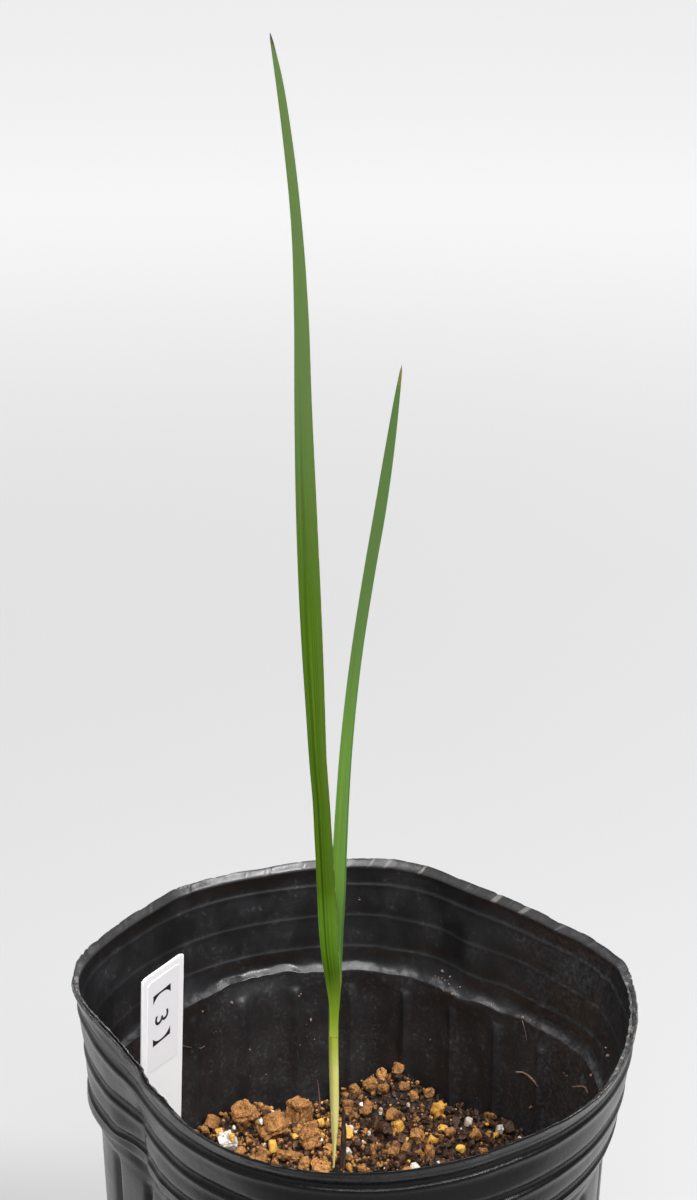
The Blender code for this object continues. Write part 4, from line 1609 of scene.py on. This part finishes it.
@dataclass
class Stem:
    """The short stem, from its flat cut at the soil to where the leaves part."""

    sides: int = 40
    rings: int = 60
    rib_depth: float = 0.00006
    sizes: tuple[tuple[float, float], ...] = (
        (0.0953, 0.00042), (0.0982, 0.00066), (0.1011, 0.00092), (0.1060, 0.00160), (0.1110, 0.00195),
        (0.1180, 0.00214), (0.1250, 0.00220), (0.1340, 0.00216), (0.1400, 0.00220), (0.1445, 0.00190),
        (0.1490, 0.00080))

    def build(self, frame: dict) -> None:
        """Extrude the stem through its stations, and on inside the leaves' feet.
        """
        rows = Stations.read(frame, Node.STEM)
        heights, widths = np.array(self.sizes).T
        x = np.interp(heights, rows.heights, rows.x)
        where = np.linspace(heights[0], heights[-1], self.rings)
        centres, sizes = curve_through(heights, x, where), curve_through(heights, widths, where)
        rings = [Ring(Vector((cx, rows.y[0], z)), size / 2.0) for cx, z, size in zip(centres, where, sizes)]
        stem = extruded(rings, self.sides)
        points = points_of(stem)
        middle = curve_through(heights, x, np.clip(points[:, 2], heights[0], heights[-1]))
        angle = np.arctan2(points[:, 1] - rows.y[0], points[:, 0] - middle)
        ribs = 1.0 - self.rib_depth / 0.0012 * (0.5 + 0.5 * np.cos(9.0 * angle))
        points[:, 0] = middle + (points[:, 0] - middle) * ribs
        points[:, 1] = rows.y[0] + (points[:, 1] - rows.y[0]) * ribs
        set_points(stem, points)
        hand_over(stem, "stem_shaft", StemSkin().make(), Slot.STEM, [Node.STEM], 60.0)


@dataclass
class StrapLeaf:
    """One strap leaf: a thin blade, folded along a line off its middle."""

    node: Node
    name: str
    skin: LeafSkin
    foot: tuple[tuple[float, float, float, float], ...]
    fold_place: float
    folds: tuple[tuple[float, float], ...]
    wrap: tuple[float, float, float]
    forward: float
    pleat: float = 0.00010
    pleats: int = 4
    thickness: float = 0.00030
    across: int = 36
    along: int = 260
    point: float = 0.0014
    tip_room: float = 0.0001
    leave: tuple[float, float] = (0.138, 0.152)

    def build(self, frame: dict) -> None:
        """Shape a flat grid into the blade, and give it its thickness.
        """
        rows = Stations.read(frame, self.node)
        kept = rows.heights > self.foot[-1][0] + 0.001
        own = np.array(self.foot).T
        heights = np.concatenate([own[0], rows.heights[kept]])
        x = np.concatenate([own[1], rows.x[kept]])
        y = np.concatenate([own[2], rows.y[kept]])
        widths = np.concatenate([own[3], rows.widths[kept]])
        bpy.ops.mesh.primitive_grid_add(x_subdivisions=self.across, y_subdivisions=self.along, size=2.0,
                                        calc_uvs=True)
        blade = bpy.context.object
        points = points_of(blade)
        side, share = points[:, 0], (points[:, 1] + 1.0) / 2.0
        level = heights[0] + (heights[-1] - self.tip_room - heights[0]) * share
        half = curve_through(heights, widths, level) / 2.0
        half = half * (1.0 - 0.80 * smooth_step(heights[-1] - self.point, heights[-1], level))
        middle_x, middle_y = curve_through(heights, x, level), curve_through(heights, y, level)
        points[:, 0] = middle_x + half * side
        forward = self.forward * smooth_step(self.leave[0], self.leave[1], level)
        points[:, 1] = middle_y - forward + self.section(side, level, half)
        points[:, 2] = level
        set_points(blade, points)
        apply_modifier(blade, "SOLIDIFY", thickness=self.thickness, offset=0.0, use_even_offset=True)
        hand_over(blade, self.name, self.skin.make(), Slot.FOLIAGE, [self.node], 50.0)

    def section(self, side: Array, level: Array, half: Array) -> Array:
        """Return how far back each point of the blade is from its middle.

        Args:
            side: The place across the blade, from -1 to 1.
            level: The height.
            half: Half the blade's width there.

        Returns:
            The distance to the back.
        """
        knots, values = np.array(self.folds).T
        fold = np.interp(level, knots, values)
        away = side - self.fold_place
        reach = np.where(away < 0.0, 1.0 + self.fold_place, 1.0 - self.fold_place)
        valley = fold * (1.0 - np.sqrt((away / reach) ** 2 + 0.004)) * half
        pleats = self.pleat * np.cos(self.pleats * math.pi * side) * smooth_step(0.0008, 0.0018, half)
        low, high, depth = self.wrap
        wrapped = -depth * half * np.sqrt(np.clip(1.0 - side * side, 0.0, 1.0))
        share = smooth_step(low, high, level)
        return wrapped * (1.0 - share) + (valley + pleats) * share


@dataclass
class SpentSheath:
    """The dry, pointed remains of an old sheath at the stem's foot."""

    sides: int = 20
    rings: int = 34

    def build(self, frame: dict) -> None:
        """Extrude the sheath through its stations, then roughen it.
        """
        rows = Stations.read(frame, Node.SHEATH)
        where = np.linspace(rows.heights[0], rows.heights[-1], self.rings)
        centres, sizes = curve_through(rows.heights, rows.x, where), curve_through(
            rows.heights, rows.widths, where)
        rings = [Ring(Vector((x, rows.y[0], z)), size / 2.0) for x, z, size in zip(centres, where, sizes)]
        sheath = extruded(rings, self.sides)
        points = points_of(sheath)
        for index, (x, y, z) in enumerate(points):
            crumple = noise.noise(Vector((x, y, z * 0.3)) / 0.0006)
            middle = float(np.interp(z, rows.heights, rows.x))
            grow = 1.0 + 0.20 * crumple
            points[index, 0] = middle + (x - middle) * grow
            points[index, 1] = rows.y[0] + (y - rows.y[0]) * 0.7 * grow
        set_points(sheath, points)
        hand_over(sheath, "dry_sheath_spike", DryFibre().make(), Slot.SHEATH, [Node.SHEATH], 60.0)


@dataclass
class Label:
    """The plant label, its strip of tape and the printed numeral."""

    corner: Vector = field(default_factory=lambda: Vector((-0.0439, -0.0015, 0.1545)))
    turn: float = math.radians(57.3)
    lean: float = math.radians(4.4)
    width: float = 0.0142
    length: float = 0.0880
    point: float = 0.0140
    thickness: float = 0.0006
    corner_radius: float = 0.0009
    edge_rise: float = 0.0007
    tape_left: float = 0.0016
    tape_width: float = 0.0106
    tape_top: float = 0.0017
    tape_length: float = 0.0222
    tape_thickness: float = 0.00012
    print_middle: float = 0.0064
    bracket_width: float = 0.0060
    bracket_depth: float = 0.0019
    bracket_waist: float = 0.00050
    bracket_tops: tuple[float, float] = (0.0056, 0.0178)
    numeral: str = "3"
    numeral_height: float = 0.0046
    numeral_middle: float = 0.0122

    def matrix(self) -> Matrix:
        """Return the label's frame: x across it, -y out of its face and z up it."""
        return (Matrix.Translation(self.corner) @ Matrix.Rotation(self.turn, 4, "Z")
                @ Matrix.Rotation(self.lean, 4, "Y"))

    def clears(self, place: tuple[float, float], radius: float) -> bool:
        """Return whether a grain on the soil keeps clear of the label."""
        own = self.matrix().inverted() @ Vector((*place, 0.092))
        return abs(own.y) > radius + 0.4 * MM or not -radius < own.x < self.width + radius

    def place(self, piece: bpy.types.Object) -> None:
        """Put a piece that was made on the ground plane on the label's face.

        Args:
            piece: The piece, with x across the label and y up it.
        """
        piece.matrix_world = self.matrix() @ Matrix.Rotation(math.pi / 2.0, 4, "X") @ piece.matrix_world
        settle(piece)

    def build(self) -> None:
        """Make the plate, the tape and the print."""
        plate = self.sheet(self.width, self.length - self.point, self.corner_radius, self.point)
        self.lift_edge(plate, self.width)
        apply_modifier(plate, "SOLIDIFY", thickness=self.thickness, offset=0.0)
        apply_modifier(plate, "BEVEL", width=0.00009, segments=2, limit_method="ANGLE")
        self.place(plate)
        hand_over(plate, "label_plate", LabelPlastic("label_plastic", (0.95, 0.94, 0.955)).make(),
                  Slot.LABEL, [Node.LABEL], 20.0)
        front = self.thickness / 2.0
        tape = self.sheet(self.tape_width, self.tape_length, 0.0002, 0.0)
        self.lift_edge(tape, self.tape_width)
        apply_modifier(tape, "SOLIDIFY", thickness=self.tape_thickness, offset=1.0)
        tape.location = (self.tape_left, -self.tape_top, front)
        settle(tape)
        self.place(tape)
        hand_over(tape, "label_strip", LabelPlastic("tape_film", (0.89, 0.875, 0.905), roughness=0.32).make(),
                  Slot.TAPE, [Node.TAPE], 30.0)
        self.build_print(front + self.tape_thickness)

    def sheet(self, width: float, length: float, round_corner: float, point: float) -> bpy.types.Object:
        """Make a flat sheet below the origin; lift_edge rounds its top corners afterwards.

        Args:
            width: Its width.
            length: Its length above the point.
            round_corner: The radius of its two upper corners; not used.
            point: The length of the point at its foot, or 0 for a square end.

        Returns:
            The sheet.
        """
        bpy.ops.mesh.primitive_grid_add(x_subdivisions=12, y_subdivisions=1, size=1.0, calc_uvs=True)
        piece = bpy.context.object
        points = points_of(piece)
        points[:, 0] = (points[:, 0] + 0.5) * width
        points[:, 1] = (points[:, 1] - 0.5) * length
        set_points(piece, points)
        if point > 0.0:
            with editing(piece):
                bpy.ops.mesh.select_mode(type="EDGE")
                bpy.ops.mesh.select_all(action="DESELECT")
                bpy.ops.object.mode_set(mode="OBJECT")
                for edge in piece.data.edges:
                    edge.select = all(points[corner, 1] < -length + 1e-6 for corner in edge.vertices)
                bpy.ops.object.mode_set(mode="EDIT")
                bpy.ops.mesh.extrude_region_move(TRANSFORM_OT_translate={"value": (0.0, -point, 0.0)})
                bpy.ops.transform.resize(value=(0.2, 1.0, 1.0),
                                         center_override=(width / 2.0, -length - point, 0.0))
        return piece

    def lift_edge(self, piece: bpy.types.Object, width: float) -> None:
        """Round the top corners and raise the top edge a little to the right.

        Args:
            piece: The sheet.
            width: Its width.
        """
        points = points_of(piece)
        top = points[:, 1] > -1e-6
        share = points[:, 0] / width
        near_left = np.clip(1.0 - points[:, 0] / self.corner_radius, 0.0, 1.0)
        near_right = np.clip(1.0 - (width - points[:, 0]) / self.corner_radius, 0.0, 1.0)
        drop = self.corner_radius * 0.5 * (near_left ** 2 + near_right ** 2)
        points[:, 1] += np.where(top, (share - 1.0) * self.edge_rise - drop, 0.0)
        set_points(piece, points)

    def build_print(self, front: float) -> None:
        """Print the bracketed numeral along the tape.

        Args:
            front: How far the tape's face is in front of the label's middle.
        """
        marks = [self.bracket(self.bracket_tops[0], 1.0), self.bracket(self.bracket_tops[1], -1.0)]
        bpy.ops.object.text_add(location=(0.0, 0.0, 0.0))
        numeral = bpy.context.object
        numeral.data.body = self.numeral
        numeral.data.align_x = "CENTER"
        numeral.data.align_y = "CENTER"
        numeral.data.offset = 0.0
        select_only(numeral)
        bpy.ops.object.convert(target="MESH")
        points = points_of(numeral)
        points -= (points.max(axis=0) + points.min(axis=0)) / 2.0
        points *= self.numeral_height / (points[:, 1].max() - points[:, 1].min())
        turned = np.stack([points[:, 1] + self.print_middle, -points[:, 0] - self.numeral_middle,
                           points[:, 2]], axis=1)
        set_points(numeral, turned)
        deselect()
        for mark in (*marks, numeral):
            mark.select_set(True)
        bpy.context.view_layer.objects.active = numeral
        bpy.ops.object.join()
        for point in numeral.data.vertices:
            point.co.y += (point.co.x - self.print_middle) * 0.11
        apply_modifier(numeral, "SOLIDIFY", thickness=0.00003, offset=1.0)
        numeral.location = (0.0, 0.0, front)
        settle(numeral)
        self.place(numeral)
        hand_over(numeral, "label_print", Ink().make(), Slot.TAPE)

    def bracket(self, edge: float, side: float) -> bpy.types.Object:
        """Make one lens-shaped bracket that lies across the tape.

        Args:
            edge: How far below the label's top its straight edge is.
            side: 1 where it opens downwards and -1 where it opens upwards.

        Returns:
            The bracket.
        """
        bpy.ops.mesh.primitive_grid_add(x_subdivisions=28, y_subdivisions=1, size=2.0)
        piece = bpy.context.object
        points = points_of(piece)
        depth = self.bracket_waist + (self.bracket_depth - self.bracket_waist) * np.abs(points[:, 0]) ** 2.6
        inner = points[:, 1] * side < 0.0
        points[:, 1] = np.where(inner, -edge - side * depth, -edge)
        points[:, 0] = self.print_middle + points[:, 0] * self.bracket_width / 2.0
        set_points(piece, points)
        return piece


@dataclass(frozen=True)
class Thread:
    """A thin root or straw: its points, its thickness and how it tapers."""

    points: tuple[tuple[float, float, float], ...]
    thickness: float
    end: float = 0.5


@dataclass
class Litter:
    """Root threads, a straw and the crumbs that cling to the pot's inside."""

    pot: PotShape
    threads: tuple[Thread, ...] = ()
    clusters: tuple[tuple[float, float, int, float], ...] = (
        (64.0, 0.1245, 16, 1.3), (59.0, 0.1238, 7, 0.8), (35.0, 0.1236, 6, 0.7), (47.0, 0.1232, 3, 0.5),
        (22.0, 0.1150, 5, 0.5), (12.0, 0.1100, 7, 1.2), (104.0, 0.1175, 3, 0.6), (96.0, 0.1190, 3, 0.8),
        (128.0, 0.1120, 4, 1.0), (88.0, 0.1400, 3, 0.5), (-40.0, 0.1050, 6, 2.0), (-100.0, 0.1080, 6, 2.5),
        (-150.0, 0.1230, 6, 1.5), (170.0, 0.1020, 5, 2.0))
    strays: int = 30
    flakes: tuple[tuple[float, float, float, float], ...] = (
        (100.9, 0.1096, 0.60, 1.00), (123.0, 0.1188, 0.42, 0.45), (132.0, 0.1195, 0.34, 0.50),
        (118.4, 0.1045, 0.32, 0.60), (6.7, 0.1296, 0.55, 1.00), (8.6, 0.1302, 0.30, 0.90),
        (37.5, 0.1233, 0.42, 0.80), (10.0, 0.1224, 0.40, 0.95), (104.1, 0.1031, 0.25, 0.60),
        (66.9, 0.1075, 0.25, 0.55), (64.6, 0.1262, 0.45, 0.50), (61.8, 0.1258, 0.38, 0.75))
    seed: int = 23

    def build(self) -> None:
        """Make the threads and the crumbs."""
        crumbs = list(self.wall_crumbs())
        piece = scatter(crumbs, self.seed)
        hand_over(piece, "wall_crumbs", GrainSkin(
            Earth.CLAY, (0.035, 0.027, 0.020), (0.34, 0.23, 0.18), (0.03, 0.02, 0.015)).make(), Slot.SOIL,
            smooth=75.0)
        self.build_threads()

    def wall_crumbs(self) -> Iterator[Grain]:
        """Yield crumbs that cling to the wall, in clusters and singly."""
        dice = random.Random(self.seed)
        places = [(dice.uniform(-180.0, 180.0), 0.094 + 0.024 * dice.random() ** 1.5)
                  for _ in range(self.strays)]
        for bearing, height, count, spread in self.clusters:
            places += [(bearing + dice.gauss(0.0, spread), height + dice.gauss(0.0, spread * 0.5 * MM))
                       for _ in range(count)]
        crumbs = [(bearing, height, (0.10 + 0.22 * dice.random() ** 2.0), dice.random() ** 1.5)
                  for bearing, height in places]
        for bearing, height, size, tint in (*crumbs, *self.flakes):
            angle, radius = math.radians(bearing), size * MM
            reach = self.pot.wall_reach(angle, height) - radius * 0.3
            yield Grain(Earth.HUMUS, reach * math.cos(angle), reach * math.sin(angle), height, radius, tint)

    def build_threads(self) -> None:
        """Extrude every thread along its points, and join them to one piece."""
        made = []
        for thread in self.threads:
            knots = np.linspace(0.0, 1.0, len(thread.points))
            where = np.linspace(0.0, 1.0, 26)
            path = np.stack([curve_through(knots, axis, where) for axis in np.array(thread.points).T], axis=1)
            made.append(self.tube(path, thread))
        deselect()
        for piece in made:
            piece.select_set(True)
        bpy.context.view_layer.objects.active = made[0]
        bpy.ops.object.join()
        hand_over(made[0], "root_threads", DryFibre("root_fibre", (0.15, 0.09, 0.065), (0.40, 0.26, 0.20)).make(),
                  Slot.SHEATH)

    def tube(self, path: Array, thread: Thread) -> bpy.types.Object:
        """Bend a straight eight-sided rod along a path.

        Args:
            path: The path's points.
            thread: The thread, which gives the thickness.

        Returns:
            The bent rod.
        """
        sides, count = 8, len(path)
        rod = extruded([Ring(Vector((0.0, 0.0, float(row))), 1.0) for row in range(count)], sides)
        points = points_of(rod)
        row = np.clip(np.round(points[:, 2]).astype(int), 0, count - 1)
        ahead = np.gradient(path, axis=0)
        ahead /= np.linalg.norm(ahead, axis=1)[:, None]
        aside = np.cross(ahead, np.array([0.31, 0.17, 0.93]))
        aside /= np.linalg.norm(aside, axis=1)[:, None]
        across = np.cross(ahead, aside)
        taper = thread.thickness / 2.0 * (1.0 - (1.0 - thread.end) * row / (count - 1))
        bent = (path[row] + (aside[row] * points[:, :1] + across[row] * points[:, 1:2]) * taper[:, None])
        set_points(rod, bent)
        with editing(rod):
            bpy.ops.mesh.select_all(action="SELECT")
            bpy.ops.mesh.normals_make_consistent(inside=False)
        return rod


@dataclass
class Studio:
    """The pale floor, the soft lights and the camera of the photograph."""

    camera_place: Vector = field(default_factory=lambda: Vector((-0.52, -361.87, 385.1)) * MM)
    camera_dip: float = math.radians(21.915)
    lens: float = 60.0
    sensor: float = 36.0
    floor_size: float = 24.0
    floor_paint: Colour = (0.43, 0.43, 0.435)
    # The dark grey painted on the floor in front of the pot, a painted shadow.
    front_shadow_paint: Colour = (0.15, 0.15, 0.154)
    front_reach: tuple[float, float] = (-0.13, 0.04)
    near_glow: float = 0.24
    far_glow: float = 0.52
    glow_reach: tuple[float, float] = (0.1, 1.8)
    dark_side: float = -0.8
    lamps: tuple[tuple[str, tuple[float, float, float], float, float], ...] = (
        ("softbox", (0.12, -0.50, 1.22), 1.3, 5.0),
        ("lamp_right", (0.96, -0.61, 1.10), 0.18, 64.0),
        ("lamp_front", (0.645, -0.61, 1.32), 0.18, 64.0),
    )
    sky: tuple[float, float, float, float] = (0.05, 0.30, 0.78, 0.20)
    sky_front: tuple[float, float, float, float] = (-0.90, 0.15, 0.15, 1.0)

    def build(self) -> None:
        """Make the floor, the lights and the camera."""
        bpy.context.scene.view_settings.view_transform = "Standard"
        self.make_floor()
        self.make_lights()
        self.make_world()
        self.make_camera()

    def make_floor(self) -> None:
        """Lay a wide pale floor that meets the underside of the pot, is painted dark in front as a painted shadow, and
        glows to stay pale far away.
        """
        bpy.ops.mesh.primitive_plane_add(size=self.floor_size, location=(0.0, 0.0, 0.0))
        floor = bpy.context.object
        floor.name = "floor"
        bench = Bench("floor_paint")
        place = bench.place()
        # The floor in front of the pot is painted dark grey: a painted shadow that darkens what the pot's front
        # reflects. Elsewhere it glows more with distance, so it stays pale far away.
        lit = bench.axis("Y", place).ramp(*self.front_reach)
        tone = bench.noise(0.3, 2.0) * 0.08
        glow = lit * (self.near_glow + bench.reach().ramp(*self.glow_reach) * self.far_glow)
        floor.data.materials.append(bench.finish({
            "Base Color": bench.mix(lit - tone, self.front_shadow_paint, self.floor_paint),
            "Emission Color": bench.mix(glow, (0.0, 0.0, 0.0), (1.0, 1.0, 1.0)),
            "Emission Strength": 1.0,
            "Roughness": 0.8}))
        floor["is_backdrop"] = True

    def make_lights(self) -> None:
        """Hang a large soft light above, in front and to the right."""
        for name, place, size, radiance in self.lamps:
            bpy.ops.object.light_add(type="AREA", location=place)
            lamp = bpy.context.object
            lamp.name = name
            lamp.data.size = size
            lamp.data.energy = radiance * math.pi * size * size
            aim = Vector((0.0, 0.0, 0.12)) - lamp.location
            lamp.rotation_euler = aim.to_track_quat("-Z", "Y").to_euler()

    def make_world(self) -> None:
        """Surround the scene with dim light that is brighter near the horizon."""
        world = bpy.data.worlds.new("studio")
        world.use_nodes = True
        tree = world.node_tree
        background = tree.nodes["Background"]
        place = tree.nodes.new("ShaderNodeTexCoord")
        split = tree.nodes.new("ShaderNodeSeparateXYZ")
        rise = tree.nodes.new("ShaderNodeMapRange")
        tree.links.new(place.outputs["Generated"], split.inputs[0])
        tree.links.new(split.outputs["Z"], rise.inputs["Value"])
        for name, value in zip(("From Min", "From Max", "To Min", "To Max"), self.sky):
            rise.inputs[name].default_value = value
        lean = tree.nodes.new("ShaderNodeMath")
        lean.operation = "MULTIPLY_ADD"
        lean.inputs[1].default_value = self.dark_side
        tree.links.new(split.outputs["X"], lean.inputs[0])
        tree.links.new(split.outputs["Y"], lean.inputs[2])
        front = tree.nodes.new("ShaderNodeMapRange")
        tree.links.new(lean.outputs[0], front.inputs["Value"])
        for name, value in zip(("From Min", "From Max", "To Min", "To Max"), self.sky_front):
            front.inputs[name].default_value = value
        strength = tree.nodes.new("ShaderNodeMath")
        strength.operation = "MULTIPLY"
        tree.links.new(rise.outputs["Result"], strength.inputs[0])
        tree.links.new(front.outputs["Result"], strength.inputs[1])
        tree.links.new(strength.outputs[0], background.inputs["Strength"])
        background.inputs["Color"].default_value = (0.98, 0.98, 1.0, 1.0)
        bpy.context.scene.world = world

    def make_camera(self) -> None:
        """Set up the camera that took the photograph."""
        bpy.ops.object.camera_add(location=self.camera_place,
                                  rotation=(math.pi / 2.0 - self.camera_dip, 0.0, 0.0))
        camera = bpy.context.object
        camera.data.lens = self.lens
        camera.data.sensor_width = self.sensor
        camera.data.clip_start = 0.01
        bpy.context.scene.camera = camera


TALL_SKIN = LeafSkin(
    name="tall_leaf_skin", deep=(0.042, 0.100, 0.0020), fresh=(0.092, 0.186, 0.0035), grey=(0.112, 0.184, 0.058),
    pale=(0.084, 0.165, 0.014), edge=(0.30, 0.20, 0.085), tip=(0.050, 0.026, 0.034), tip_start=0.984,
    grey_start=0.44, edge_wear=0.80, fold=0.31, shade=0.62)
SHORT_SKIN = LeafSkin(
    name="short_leaf_skin", deep=(0.118, 0.252, 0.032), fresh=(0.166, 0.330, 0.052), grey=(0.098, 0.176, 0.052),
    pale=(0.146, 0.305, 0.070), edge=(0.12, 0.10, 0.03), tip=(0.25, 0.22, 0.05), tip_start=0.965,
    grey_start=0.42, edge_wear=0.35, fold=0.93, shade=0.50)

TALL_LEAF = StrapLeaf(
    node=Node.LEAF_TALL, name="leaf_tall_blade", skin=TALL_SKIN,
    foot=((0.1310, -0.00379, 0.0125, 0.00188), (0.1340, -0.00372, 0.0125, 0.00190),
          (0.1370, -0.00366, 0.0125, 0.00200), (0.1390, -0.00363, 0.0125, 0.00222),
          (0.1412, -0.00363, 0.0125, 0.00256), (0.1437, -0.00375, 0.0125, 0.00295), (0.1476, -0.00405, 0.0125, 0.00336),
          (0.1513, -0.00439, 0.0125, 0.00369), (0.1551, -0.00470, 0.0125, 0.00390),
          (0.1589, -0.00493, 0.0125, 0.00404), (0.1663, -0.00528, 0.0125, 0.00400),
          (0.1736, -0.00558, 0.0125, 0.00386), (0.1808, -0.00592, 0.0125, 0.00373),
          (0.1880, -0.00625, 0.0125, 0.00362)),
    fold_place=-0.38, folds=((0.150, 0.0), (0.166, 0.80), (0.215, 0.72), (0.255, 0.34), (0.345, 0.12)),
    wrap=(0.148, 0.166, 1.0), forward=0.00035)
SHORT_LEAF = StrapLeaf(
    node=Node.LEAF_SHORT, name="leaf_short_blade", skin=SHORT_SKIN,
    foot=((0.1310, -0.00379, 0.0125, 0.00188), (0.1340, -0.00372, 0.0125, 0.00190),
          (0.1370, -0.00366, 0.0125, 0.00200), (0.1390, -0.00361, 0.0125, 0.00222),
          (0.1412, -0.00353, 0.0125, 0.00254), (0.1437, -0.00348, 0.0125, 0.00291), (0.1476, -0.00347, 0.0125, 0.00303),
          (0.1513, -0.00339, 0.0125, 0.00317), (0.1551, -0.00331, 0.0125, 0.00329),
          (0.1589, -0.00315, 0.0125, 0.00337), (0.1663, -0.00275, 0.0125, 0.00326),
          (0.1736, -0.00248, 0.0125, 0.00311), (0.1808, -0.00215, 0.0125, 0.00296),
          (0.1868, -0.00186, 0.0125, 0.00284)),
    fold_place=0.62, folds=((0.176, 0.0), (0.200, -0.40), (0.230, -0.60), (0.284, -0.35)),
    wrap=(0.148, 0.170, -1.0), forward=-0.00095)

THREADS = (
    Thread(((0.0386, 0.0300, 0.1087), (0.0403, 0.0284, 0.1096), (0.0420, 0.0267, 0.1091),
            (0.0432, 0.0246, 0.1087)), 0.00050, 0.8),
    Thread(((0.0503, 0.0171, 0.1138), (0.0502, 0.0149, 0.1154), (0.0521, 0.0122, 0.1173),
            (0.0527, 0.0098, 0.1174)), 0.00045, 0.8),
    Thread(((-0.0404, 0.0336, 0.1138), (-0.0379, 0.0358, 0.1116), (-0.0357, 0.0377, 0.1100),
            (-0.0346, 0.0388, 0.1099)), 0.00020),
    Thread(((0.0395, 0.0298, 0.1231), (0.0402, 0.0290, 0.1209), (0.0406, 0.0281, 0.1186)), 0.00018),
    Thread(((-0.0074, 0.0395, 0.0915), (-0.0076, 0.0393, 0.0960), (-0.0079, 0.0391, 0.1000)), 0.00060, 0.25),
)


def plain_box() -> list[list[float]]:
    """Return the whole object's box as plain lists of numbers."""
    return [[float(value) for value in corner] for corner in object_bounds()]


def main() -> None:
    """Build the scene."""
    logging.basicConfig(level=logging.INFO, format="%(name)s: %(message)s")
    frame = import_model()
    cad_box = plain_box()
    deselect()
    shape = PotShape()
    label = Label()
    Pot(shape).build(cad_box)
    Soil(shape).build(label)
    Stem().build(frame)
    TALL_LEAF.build(frame)
    SHORT_LEAF.build(frame)
    SpentSheath().build(frame)
    label.build()
    Litter(shape, THREADS).build()
    Studio().build()


if __name__ == "__main__":
    main()
